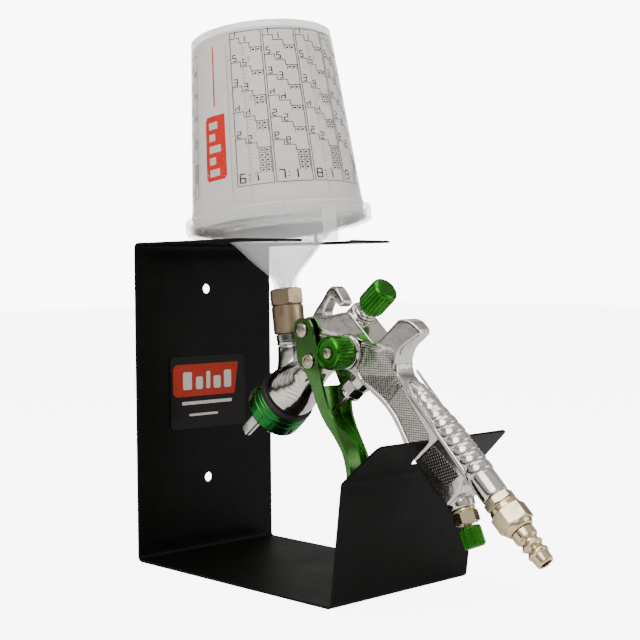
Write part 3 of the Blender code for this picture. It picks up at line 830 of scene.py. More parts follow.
    def soften(self, width: float, segments: int = 3, angle: float = 28.0) -> "Shape":
        """Rounds the sharp edges.

        Args:
            width: How wide the rounding is.
            segments: How many steps it has.
            angle: Edges sharper than this many degrees are rounded.

        Returns:
            This shape.
        """
        step = self.obj.modifiers.new("soften", "BEVEL")
        step.width, step.segments, step.limit_method = width * MM, segments, "ANGLE"
        step.angle_limit, step.harden_normals = math.radians(angle), False
        bpy.context.view_layer.update()
        settle(self.obj)
        return self

    def cast(self, grain: float, passes: int) -> "Shape":
        """Melts the shape's parts to one skin with soft inner corners, as a casting has.

        Args:
            grain: The size of its facets.
            passes: How often it is smoothed.

        Returns:
            This shape.
        """
        step = self.obj.modifiers.new("skin", "REMESH")
        step.mode, step.voxel_size = "VOXEL", grain * MM
        smooth = self.obj.modifiers.new("smooth", "SMOOTH")
        smooth.iterations, smooth.factor = passes, 0.5
        bpy.context.view_layer.update()
        settle(self.obj)
        return self

    def shift(self, move: Callable[[Vector], Vector]) -> "Shape":
        """Moves each vertex.

        Args:
            move: Gives a vertex's new place for its old one, both in the shape's frame.

        Returns:
            This shape.
        """
        for vert in self.obj.data.vertices:
            vert.co = move(vert.co.copy())
        return self

    def flute(self, count: int, depth: float, low: float, high: float, sharp: float = 2.0) -> "Shape":
        """Presses grooves around a turned shape.

        Args:
            count: How many grooves.
            depth: How deep they are.
            low: The height where they start.
            high: The height where they end.
            sharp: How narrow they are.

        Returns:
            This shape.
        """
        rim = max(math.hypot(v.co.x, v.co.y) for v in self.obj.data.vertices)

        def groove(co: Vector) -> Vector:
            """Sinks a vertex of the rim into its groove."""
            reach = math.hypot(co.x, co.y)
            if low * MM <= co.z <= high * MM and reach > rim - 2.4 * depth * MM:
                wave = abs(math.cos(count * math.atan2(co.y, co.x) / 2)) ** sharp
                shrink = 1 - depth * MM * wave / reach
                return Vector((co.x * shrink, co.y * shrink, co.z))
            return co

        return self.shift(groove)

    def done(self, finish: Finish, body: str, *nodes: str, smooth: float = 32.0) -> bpy.types.Object:
        """Shades the shape, dresses it and puts it on its body.

        Args:
            finish: Its finish.
            body: The body it moves with.
            nodes: The CAD nodes it stands for.
            smooth: Edges sharper than this many degrees stay sharp.

        Returns:
            The object.
        """
        mesh = self.obj.data
        mesh.materials.clear()
        mesh.materials.append(finish.material())
        for face in mesh.polygons:
            face.material_index = 0
        mesh.shade_smooth()
        mesh.set_sharp_from_angle(angle=math.radians(smooth))
        if smooth < 45.0:
            even = self.obj.modifiers.new("even", "WEIGHTED_NORMAL")
            even.keep_sharp = True
            settle(self.obj)
        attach(self.obj, body)
        if nodes:
            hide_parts(*nodes)
        LOG.info("%s: %s, %d faces", self.obj.name, finish.name, len(self.obj.data.polygons))
        return self.obj


def hexagon(name: str, across: float, low: float, high: float, place: Matrix, turn: float = 10.0) -> Shape:
    """Makes a hexagon with its corners turned back at both ends, as a nut's are.

    Args:
        name: The piece's name.
        across: Its size across the flats.
        low: Where it starts.
        high: Where it ends.
        place: Where its frame stands.
        turn: How far it is turned, in degrees.

    Returns:
        The shape.
    """
    corner = across / 2 / math.cos(math.radians(30))
    flats = Shape.bar(name, low, high, corner, place, sides=6, turn=turn)
    chamfer, inner = 0.28 * (corner - across / 2) + 0.35, across / 2 * 0.985
    cone = [(low, inner), (low + chamfer, corner + 0.1), (high - chamfer, corner + 0.1), (high, inner)]
    return flats.keep(Shape.turned(name + "_chamfer", cone, place, 48)).soften(0.12, 2)


def arc(cx: float, cy: float, radius: float, start: float, end: float, count: int) -> list[Pair]:
    """Gives points on a circle between two angles in degrees."""
    turns = (math.radians(start + (end - start) * i / count) for i in range(count + 1))
    return [(cx + radius * math.cos(a), cy + radius * math.sin(a)) for a in turns]


def folded(corners: Sequence[Pair], radius: float, count: int) -> list[Vector]:
    """Rounds the inner corners of a line.

    Args:
        corners: The line's points.
        radius: The radius of each corner.
        count: How many steps each corner has.

    Returns:
        The rounded line.
    """
    path = [Vector(corners[0])]
    for before, here, after in zip(corners, corners[1:], corners[2:]):
        here = Vector(here)
        into, out = (here - Vector(before)).normalized(), (Vector(after) - here).normalized()
        reach = radius * math.tan(into.angle(out) / 2)
        start, end = here - into * reach, here + out * reach
        for i in range(count + 1):
            t = i / count
            path.append(start * (1 - t) ** 2 + here * 2 * t * (1 - t) + end * t ** 2)
    path.append(Vector(corners[-1]))
    return path


def flowing(points: Sequence[Sequence[float]], count: int, closed: bool = False) -> list[tuple[float, ...]]:
    """Runs a smooth line through points.

    Args:
        points: The points.
        count: How many steps between each two.
        closed: Whether the line comes back to its start.

    Returns:
        The line's points.
    """
    size, path = len(points), []
    for i in range(size if closed else size - 1):
        a, b, c, d = (Vector(points[(i + k) % size] if closed else points[min(max(i + k, 0), size - 1)])
                      for k in (-1, 0, 1, 2))
        for j in range(count):
            t = j / count
            path.append(tuple(0.5 * (2 * b + (c - a) * t + (2 * a - 5 * b + 4 * c - d) * t ** 2
                                     + (3 * b - a - 3 * c + d) * t ** 3)))
    if not closed:
        path.append(tuple(points[-1]))
    return path


def inside(border: Sequence[Pair], x: float, y: float) -> bool:
    """Tells whether a point lies in a closed outline.

    Args:
        border: The outline's corners.
        x: The point's first coordinate.
        y: The point's second coordinate.

    Returns:
        True inside it.
    """
    within = False
    for (ax, ay), (bx, by) in zip(border, [*border[1:], border[0]]):
        if (ay > y) != (by > y) and x < ax + (y - ay) * (bx - ax) / (by - ay):
            within = not within
    return within


def cord_along(name: str, path: Sequence[Vector], radius: float, sides: int = 10) -> Shape:
    """Makes a round bead along a line.

    Args:
        name: The piece's name.
        path: World points.
        radius: Its radius.
        sides: How many sides it has.

    Returns:
        The shape.
    """
    line = bpy.data.curves.new(name, "CURVE")
    line.dimensions = "3D"
    spline = line.splines.new("POLY")
    spline.points.add(len(path) - 1)
    for knot, co in zip(spline.points, path):
        knot.co = (*co, 1.0)
    line.bevel_depth, line.bevel_resolution, line.use_fill_caps = radius * MM, sides // 4, True
    holder = bpy.data.objects.new(name, line)
    bpy.context.scene.collection.objects.link(holder)
    bpy.context.view_layer.update()
    mesh = bpy.data.meshes.new_from_object(holder.evaluated_get(bpy.context.evaluated_depsgraph_get()))
    bpy.data.objects.remove(holder)
    bm = bmesh.new()
    bm.from_mesh(mesh)
    bpy.data.meshes.remove(mesh)
    return Shape(name, bm)


# ------------------------------------------------------------------ the stand
@dataclass
class Stand:
    """One folded sheet: lip, front, shelf, back panel and the fork over it."""

    width: float = 116.6
    depth: float = 183.3
    height: float = 210.0
    sheet: float = 1.5
    bend: float = 3.5
    front_top: Pair = (192.1, 71.7)
    lip_top: Pair = (217.5, 94.2)
    panel_rise: float = 1.3
    panel_fold: float = 39.0
    hole: float = 6.5
    hole_levels: Pair = (50.0, 179.2)
    fork_tip: float = 121.5
    bay: float = 42.5  # the radius of the fork's opening
    bay_middle: float = 84.0  # from the wall to its middle
    gate: float = 20.0  # half the width of the way into it
    bend_steps: int = 10

    def folded_sheet(self) -> Shape:
        """Folds the sheet, still wide at the top for the fork.

        Returns:
            The sheet.
        """
        mid, edge = self.sheet / 2, self.bend + self.sheet
        corners = [self.lip_top, self.front_top, (self.depth - mid, mid), (mid, mid), (mid, self.height - mid),
                   (self.fork_tip + 8, self.height - mid)]
        path = folded(corners, self.bend, self.bend_steps)
        top = next(i for i, p in enumerate(path) if p.x < self.depth / 2 and p.y > self.height / 2)
        levels = [edge + 3.0, edge + 9.0, self.height - edge - 9.0, self.height - edge - 3.0]
        path[top:top] = [Vector((mid, level)) for level in levels]
        wide = self.fork_tip / 2 + 8
        columns = [-wide, -self.width / 2 - 0.4, -self.panel_fold - 7, -self.panel_fold, self.panel_fold,
                   self.panel_fold + 7, self.width / 2 + 0.4, wide]
        bm = bmesh.new()
        line = [bm.verts.new(point(p.x, p.y, columns[0])) for p in path]
        edges = [bm.edges.new(pair) for pair in zip(line, line[1:])]
        for before, x in zip(columns, columns[1:]):
            grown = bmesh.ops.extrude_edge_only(bm, edges=edges)["geom"]
            edges = [e for e in grown if isinstance(e, bmesh.types.BMEdge) and all(v in grown for v in e.verts)]
            new = [v for v in grown if isinstance(v, bmesh.types.BMVert)]
            bmesh.ops.translate(bm, vec=((x - before) * MM, 0, 0), verts=new)
        back, margin = point(mid, 0).y, (edge + 6.0) * MM
        for vert in bm.verts:
            on_panel = abs(vert.co.y - back) < 1e-6 and margin < vert.co.z < self.height * MM - margin
            if on_panel and abs(vert.co.x) < (self.panel_fold + 1) * MM:
                vert.co.y -= self.panel_rise * MM
        shape = Shape("holder_sheet", bm)
        thick = shape.obj.modifiers.new("sheet", "SOLIDIFY")
        thick.thickness, thick.offset, thick.use_even_offset = self.sheet * MM, 0.0, True
        bpy.context.view_layer.update()
        settle(shape.obj)
        return shape

    def trim(self, shape: Shape) -> None:
        """Cuts the sheet's edges, the fork, the notch and the screw holes.

        Args:
            shape: The folded sheet.
        """
        half, out, past, tip, level = self.width / 2, 90.0, 160.0, self.fork_tip, self.height
        side = [(half, -20.0), (out, -20.0), (out, level - 4.5), (half, level - 4.5)]
        fork = [(half, -10.0), *flowing([(half, 12.0), (58.9, 26.0), (59.9, 46.0), (62.0, 70.0), (64.2, 92.0),
                                         (65.6, 110.0)], 4),
                (65.0, 113.5), (62.5, 115.6), (18.0, tip), (18.0, past), (out, past), (out, -10.0)]
        lip = [(half, 70.0), (half, 73.0), (half - 3.1, 92.4), (half - 5.0, 94.6), (half - 8, 97.0),
               (out, 97.0), (out, 70.0)]
        for sign in (edge.value for edge in Side):
            for name, outline, near, far in (("side", side, -20.0, 240.0), ("lip", lip, self.depth + 3, 230.0)):
                face = [point(near, z, sign * x) for x, z in outline]
                shape.cut(Shape.drawn(name, face, Vector((0, (near - far) * MM, 0))))
            face = [point(f, level - 5, sign * x) for x, f in fork]
            shape.cut(Shape.drawn("fork", face, Vector((0, 0, 15 * MM))))
        gate = math.degrees(math.asin(self.gate / self.bay))
        opening = arc(0.0, self.bay_middle, self.bay, 90 + gate, 450 - gate, 72) + [(self.gate, past),
                                                                                    (-self.gate, past)]
        shape.cut(Shape.drawn("opening", [point(f, level - 10, x) for x, f in opening],
                              Vector((0, 0, 20 * MM))))
        right = arc(9.0, 82.6, 4.0, 270, 360, 8) + [(14.5, self.lip_top[1]), (15.7, 110.0)]
        notch = [(-x, z) for x, z in right[::-1]] + right
        shape.cut(Shape.drawn("notch", [point(self.depth + 3, z, x) for x, z in notch],
                              Vector((0, -46 * MM, 0))))
        for place in self.hole_levels:
            wall = stood_on(point(0.0, place), Vector((0, -1, 0)))
            shape.cut(Shape.bar("hole", -20.0, 20.0, self.hole / 2, wall))

    def build(self) -> None:
        """Makes the sheet and dresses it."""
        shape = self.folded_sheet()
        self.trim(shape)
        shape.soften(0.28, 2, 40.0).done(POWDER, "stand", "stand_frame", smooth=30.0)


@dataclass
class Label:
    """The printed label on the back panel, with generic marks in place of its words."""

    width: float = 65.0
    height: float = 49.0
    thick: float = 0.35
    print_thick: float = 0.08

    def rounded(self, low: Pair, high: Pair, radius: Sequence[float], lean: float = 0.0) -> list[Pair]:
        """Gives a rounded rectangle.

        Args:
            low: Its low corner (x, z), from the label's middle.
            high: Its high corner.
            radius: The radii of its corners: high right, high left, low left, low right.
            lean: How far its right edge leans over.

        Returns:
            Its outline.
        """
        outline = []
        for (x, z, start), r in zip(((1, 1, 0), (-1, 1, 90), (-1, -1, 180), (1, -1, 270)), radius):
            cx = high[0] - r if x > 0 else low[0] + r
            cz = high[1] - r if z > 0 else low[1] + r
            push = lean * z if x > 0 else 0.0
            outline += [(px + push, pz) for px, pz in arc(cx, cz, r, start, start + 90, 6)]
        return outline

    def layer(self, name: str, outline: Sequence[Pair], start: float, thick: float, finish: Finish,
              *nodes: str) -> None:
        """Lays one film on the panel.

        Args:
            name: The piece's name.
            outline: Its outline from the label's middle.
            start: How far its back stands off the label's back.
            thick: How thick it is.
            finish: Its finish.
            nodes: The CAD nodes it stands for.
        """
        low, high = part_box("stand_label")
        middle, face = (low + high) / 2, high.y
        points = [Vector((x * MM, face - start * MM, middle.z + z * MM)) for x, z in outline]
        Shape.drawn(name, points, Vector((0, -thick * MM, 0))).done(finish, "stand", *nodes)

    def build(self) -> None:
        """Makes the film and the printed marks."""
        w, h = self.width / 2, self.height / 2
        self.layer("label_film", self.rounded((-w, -h), (w, h), (3, 3, 3, 3)), 0.0, self.thick, LABEL_BLACK,
                   "stand_label")
        top = self.thick
        red = self.rounded((-30.4, -2.6), (24.6, 19.2), (0.3, 4.0, 4.0, 0.3), 1.6)
        self.layer("label_red_field", red, top, self.print_thick, LABEL_RED)
        top += self.print_thick
        bars = [((-22.0, 2.0), (-14.5, 14.0)), ((-11.0, 2.0), (-5.0, 10.5)), ((-2.0, 2.0), (1.4, 14.0)),
                ((4.4, 2.0), (10.6, 10.5)), ((13.6, 2.0), (20.0, 14.0))]
        for i, (low, high) in enumerate(bars):
            self.layer(f"label_block_{i}", self.rounded(low, high, (1.4, 1.4, 1.4, 1.4)), top,
                       self.print_thick, LABEL_WHITE)
        for i, (low, high) in enumerate((((-23.0, -8.2), (20.6, -6.0)), ((-17.0, -16.0), (8.0, -14.4)))):
            self.layer(f"label_bar_{i}", self.rounded(low, high, (0.8,) * 4), self.thick, self.print_thick,
                       LABEL_WHITE)


# ------------------------------------------------------------------ the cup
@dataclass
class CupPrint:
    """The mixing scales printed on the cup's wall: strokes laid on the cone as thin strips."""

    mouth: Pair  # height and radius at the wide end
    base: Pair  # height and radius at the narrow end
    lift: float = 0.12
    line: float = 0.4  # how wide a scale's lines are
    head: float = 5.4  # how tall the numbers at a scale's foot are
    rung: float = 3.1  # from one box of a ladder to the next
    tick: float = 2.4  # from one mark of a plain scale to the next
    strokes: dict = field(default_factory=dict)

    def spot(self, angle: float, height: float) -> Vector:
        """Finds a place on the wall.

        Args:
            angle: Degrees around the cup from the front, toward the far side.
            height: Millimetres up the cup's axis.

        Returns:
            The place in the cup's frame.
        """
        t = (height - self.mouth[0]) / (self.base[0] - self.mouth[0])
        radius = self.mouth[1] + (self.base[1] - self.mouth[1]) * t + self.lift
        a = math.radians(angle - 90.0)
        return Vector((radius * math.cos(a), radius * math.sin(a), height)) * MM

    def strip(self, ink: Finish, start: Pair, end: Pair, width: float) -> None:
        """Lays one straight stroke.

        Args:
            ink: The ink it is printed in.
            start: The angle and height where it starts.
            end: The angle and height where it ends.
            width: How wide it is, in millimetres.
        """
        bm = self.strokes.setdefault(ink, bmesh.new())
        around = math.degrees(1.0 / self.base[1])
        run, rise = (end[0] - start[0]) / around, end[1] - start[1]
        length = math.hypot(run, rise) or 1.0
        side_a, side_h = -rise / length * width / 2 * around, run / length * width / 2
        count = max(1, int(abs(end[0] - start[0]) / 2.0))
        rails = []
        for i in range(count + 1):
            t = i / count
            a, h = start[0] + (end[0] - start[0]) * t, start[1] + (end[1] - start[1]) * t
            rails.append((bm.verts.new(self.spot(a + side_a, h + side_h)),
                          bm.verts.new(self.spot(a - side_a, h - side_h))))
        for (a, b), (c, d) in zip(rails, rails[1:]):
            bm.faces.new((a, b, d, c))

    def box(self, ink: Finish, low: Pair, high: Pair, width: float = 0.35) -> None:
        """Draws a rectangle.

        Args:
            ink: The ink it is printed in.
            low: The angle and height of one corner.
            high: The angle and height of the corner across from it.
            width: How wide its lines are.
        """
        (a0, h0), (a1, h1) = low, high
        for start, end in (((a0, h0), (a1, h0)), ((a1, h0), (a1, h1)), ((a1, h1), (a0, h1)),
                           ((a0, h1), (a0, h0))):
            self.strip(ink, start, end, width)

    def digit(self, ink: Finish, value: int, low: Pair, tall: float, flipped: bool = True) -> None:
        """Draws a number out of straight strokes.

        Args:
            ink: The ink it is printed in.
            value: The number, 0 to 9.
            low: The angle and height of its low corner.
            tall: How tall it is.
            flipped: Whether its top is down, as it is on all but the heads of the scales.
        """
        wide = tall * 0.55 * math.degrees(1.0 / self.base[1])
        left, right, middle = low[0], low[0] + wide, low[1] + tall / 2
        head, foot = (low[1], low[1] + tall) if flipped else (low[1] + tall, low[1])
        lines = {"a": ((left, head), (right, head)), "b": ((right, head), (right, middle)),
                 "c": ((right, middle), (right, foot)), "d": ((left, foot), (right, foot)),
                 "e": ((left, middle), (left, foot)), "f": ((left, head), (left, middle)),
                 "g": ((left, middle), (right, middle))}
        shown = ("abcdef", "bc", "abged", "abgcd", "fgbc", "afgcd", "afgedc", "abc", "abcdefg", "abcdfg")[value]
        for key in shown:
            self.strip(ink, *lines[key], max(0.42, tall * 0.14))

    def column(self, start: float, ratio: int, low: float, high: float, wide: float) -> None:
        """Draws one mixing scale: its frame, its stepped lines, its numbers and its ladder of boxes.

        Args:
            start: The angle of its left edge.
            ratio: The first number of its ratio.
            low: The height of its lower edge.
            high: The height of its upper edge.
            wide: How many degrees wide it is.
        """
        ink = INK_DARK
        self.box(ink, (start, low), (start + wide, high), self.line)
        self.digit(ink, ratio, (start + wide * 0.08, low + 2.0), self.head, False)
        self.strip(ink, (start + wide * 0.33, low + 3.4), (start + wide * 0.36, low + 3.4), 0.9)
        self.strip(ink, (start + wide * 0.33, low + 6.0), (start + wide * 0.36, low + 6.0), 0.9)
        self.digit(ink, 1, (start + wide * 0.43, low + 2.0), self.head, False)
        steps, span = 5 + ratio % 2, high - low
        levels = [low + span * (0.10 + 0.86 * (i / steps) ** 0.9) for i in range(1, steps + 1)]
        marks = [start, start + wide * 0.31, start + wide * 0.62, start + wide]
        floor = low
        for i, level in enumerate(levels):
            drop, tall = span * 0.036, min(4.6, span * 0.04)
            for j in range(3):
                at = level - drop * j
                self.strip(ink, (marks[j], at), (marks[j + 1], at), self.line)
                if j:
                    self.strip(ink, (marks[j], at), (marks[j], at + drop), self.line)
                if j < 2:
                    self.digit(ink, (steps - i) % 10, (marks[j] + wide * 0.07, at + 0.9), tall)
            top = level - drop * 2
            rungs = max(1, int((top - floor) * 0.72 / self.rung))
            for rung in range(rungs):
                at = top - self.rung * rung
                self.strip(ink, (start + wide * 0.66, at), (start + wide * 0.97, at), 0.32)
                for column in (0.70, 0.85):
                    self.strip(ink, (start + wide * column, at - 1.5),
                               (start + wide * (column + 0.07), at - 1.5), 0.9)
            for column in (0.66, 0.82, 0.97):
                x = start + wide * column
                self.strip(ink, (x, top), (x, top - self.rung * rungs), 0.32)
            floor = level

    def graduations(self, start: float, low: float, high: float, wide: float) -> None:
        """Draws a plain measuring scale with a mark each few millimetres.

        Args:
            start: The angle of its line.
            low: The height where it starts.
            high: The height where it ends.
            wide: How many degrees its long marks reach.
        """
        count = int((high - low) / self.tick)
        self.strip(INK_PALE, (start, low), (start, high), 0.3)
        for i in range(count):
            reach = wide if i % 5 == 0 else wide * 0.5
            level = low + self.tick * i
            self.strip(INK_PALE, (start, level), (start + reach, level), 0.3)
            if i % 10 == 5:
                self.digit(INK_PALE, (i // 10) % 10, (start + wide * 0.7, level + 0.8), 2.6)

    def build(self) -> None:
        """Prints all the scales and gives each ink its own thin piece."""
        first, pitch, wide = -66.9, 26.0, 24.4
        for i in range(9):
            self.column(first + pitch * i, (6 + i - 1) % 9 + 1, 60.0, 156.5, wide)
        self.column(-124.0, 4, 60.0, 150.0, 19.0)
        self.graduations(-71.0, 56.0, 150.0, 3.2)
        for i in range(4):
            self.graduations(first + pitch * (2 * i + 0.35), 52.5, 150.0, 5.0)
        red, low, high = -84.0, 67.0, 107.5
        for i in range(16):
            self.strip(INK_RED, (red - 8.6 + i * 1.15, low + (1.5 if i in (0, 15) else 0)),
                       (red - 8.6 + i * 1.15, high - (1.5 if i == 0 else 0)), 1.1)
        self.strip(INK_RED, (red + 0.4, high + 6.0), (red + 0.4, high + 44.0), 0.9)
        for ink, bm in self.strokes.items():
            Shape("cup_print_" + ink.name, bm, CUP_AXIS).done(ink, "cup", smooth=60.0)
        marks = bmesh.new()
        self.lift += 0.1
        self.strokes = {LABEL_WHITE: marks}
        for i, tall in enumerate((8.0, 5.2, 9.4, 5.2, 7.2)):
            level = low + 3.0 + i * 7.4
            for j in range(5):
                self.strip(LABEL_WHITE, (red - 5.6, level + j * 0.9),
                           (red - 5.6 + tall * 1.15, level + j * 0.9), 0.9)
        Shape("cup_print_marks", marks, CUP_AXIS).done(LABEL_WHITE, "cup", smooth=60.0)


@dataclass
class MixingCup:
    """The inverted mixing cup, its lid with the funnel, the filter in it and the adapter under it."""

    lid: float = 39.4
    lid_radius: float = 59.7
    lid_deep: float = 8.6
    mouth: float = 55.2
    base: float = 45.3
    top: float = 163.0
    wall: float = 1.3

    def build_cup(self) -> None:
        """Turns the cup, with a rounded base edge and a thin foot."""
        lip, foot, wall = self.lid + self.lid_deep, self.top - 2.0, self.wall
        profile = [(foot, self.base - 2.6), (self.top - 0.5, self.base - 2.2), (self.top, self.base - 1.7),
                   (self.top, self.base - 0.7), (self.top - 0.5, self.base - 0.1), (self.top - 1.6, self.base),
                   (self.top - 4.6, self.base + 0.1), (self.top - 5.2, self.base + 0.4),
                   (lip + 5.4, self.mouth - 0.6),
                   (lip + 4.6, self.mouth - 0.2), (self.lid + 2.1, self.mouth),
                   (self.lid + 2.1, self.mouth - wall),
                   (lip + 5.0, self.mouth - 0.5 - wall), (self.top - 5.2, self.base + 0.3 - wall),
                   (foot - wall, self.base - 3.4)]
        Shape.turned("mixing_cup_shell", profile, CUP_AXIS, 128).done(CUP_SKIN, "cup", "mixing_cup")
        CupPrint((lip + 5.4, self.mouth - 0.6), (self.top - 5.2, self.base + 0.4)).build()

    def build_lid(self) -> None:
        """Turns the lid and its funnel, and adds the pull tab."""
        flat, lip, rim = self.lid, self.lid + self.lid_deep, self.lid_radius
        outer = [(-6.0, 4.5), (0.5, 4.6), (0.5, 7.3), (6.0, 8.0), (7.0, 8.6),
                 *flowing([(11.0, 11.6), (20.0, 20.4), (31.0, 30.2),
                 (flat - 0.9, 39.4)], 5), (flat - 0.3, 42.2), (flat, 43.4), (flat, 50.0), (flat + 0.7, 50.5),
                 (flat + 0.7, 52.5),
                 (flat, 53.0), (flat, rim - 1.4), (flat + 0.3, rim - 0.5), (flat + 1.1, rim), (lip - 3.2, rim),
                 (lip - 2.9, rim - 0.3), (lip - 2.4, rim - 0.3), (lip - 2.1, rim), (lip - 0.9, rim),
                 (lip - 0.2, rim - 0.4)]
        inner = [(lip, rim - 1.2), (lip, rim - 2.2), (flat + 1.6, rim - 2.8), (flat + 1.6, 41.5),
                 (flat + 0.6, 38.0),
                 (31.0, 28.6), (20.0, 18.8), (11.0, 10.0), (6.0, 6.0), (0.0, 3.5), (-6.0, 3.5)]
        lid = Shape.turned("lid_shell", outer + inner, CUP_AXIS, 128, bored=True)
        lid.done(LID_SKIN, "gun", "cup_lid")
        turn = CUP_AXIS @ Matrix.Rotation(math.radians(-12), 4, "Z")
        tab = Shape.block("lid_pull_tab", (9.6, 2.0, 22.6), (0, -rim - 0.75, flat - 6.7), turn).soften(0.7, 3)
        tab.done(LID_SKIN, "gun")
        web = Shape.block("lid_tab_web", (3.0, 3.4, 7.0), (0, -rim + 1.5, flat - 4.2), turn).soften(0.5, 2)
        web.done(LID_SKIN, "gun")

    def build_filter(self) -> None:
        """Turns the filter's ring, and stretches the mesh across it."""
        ring = [(36.2, 27.6), (36.0, 30.6), (36.4, 31.3), (37.4, 31.7), (37.6, 30.4), (37.2, 28.0)]
        Shape.turned("filter_ring", ring, CUP_AXIS, 96, bored=True).done(TEAL_MESH, "gun", "lid_filter")
        mesh = [(36.6, 1.5), (36.6, 28.4), (36.8, 28.4), (36.8, 1.5)]
        Shape.turned("filter_mesh", mesh, CUP_AXIS, 64, bored=True).done(TEAL_MESH, "gun")
        for i in range(3):
            turn = CUP_AXIS @ Matrix.Rotation(math.radians(-50 + 120 * i), 4, "Z")
            rib = Shape.block(f"filter_leg_{i}", (3.2, 1.0, 9.6), (0.0, -24.6, 32.0), turn).soften(0.3, 2)
            rib.done(TEAL_MESH, "gun")

    def build_adapter(self) -> None:
        """Turns the threaded adapter and its nipple."""
        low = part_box("cup_adapter")[0].z
        LOG.info("adapter foot at %.4f m", low)
        body = [(-28.7, 9.0), (-28.4, 9.7), (-27.9, 10.1), (-11.6, 10.2), (-11.0, 9.9), (-10.4, 9.2),
                (0.0, 9.0)]
        adapter = Shape.turned("adapter_sleeve", body, CUP_AXIS, 72)
        adapter.cut(Shape.bar("bore", -40.0, 10.0, 5.0, CUP_AXIS)).done(DULL_NICKEL, "gun", "cup_adapter")
        flats = hexagon("adapter_flats", 19.4, -10.2, -0.4, CUP_AXIS, 25.0)
        flats.cut(Shape.bar("bore", -40.0, 10.0, 8.6, CUP_AXIS)).done(DULL_NICKEL, "gun")
        profile = [(-36.0, 8.2), (-35.6, 8.8), (-34.6, 8.9), (-34.3, 8.6), (-33.4, 8.6), (-33.1, 8.9),
                   (-29.5, 8.9),
                   (-29.0, 8.4), (-29.0, 4.7), (-14.0, 4.6), (-14.0, 2.4), (-36.0, 2.4)]
        Shape.turned("nipple_collar", profile, CUP_AXIS, 72, bored=True).done(CHROME_TURNED, "gun",
                                                                              "inlet_nipple")

    def build(self) -> None:
        """Makes everything above the gun."""
        self.build_cup()
        self.build_lid()
        self.build_filter()
        self.build_adapter()


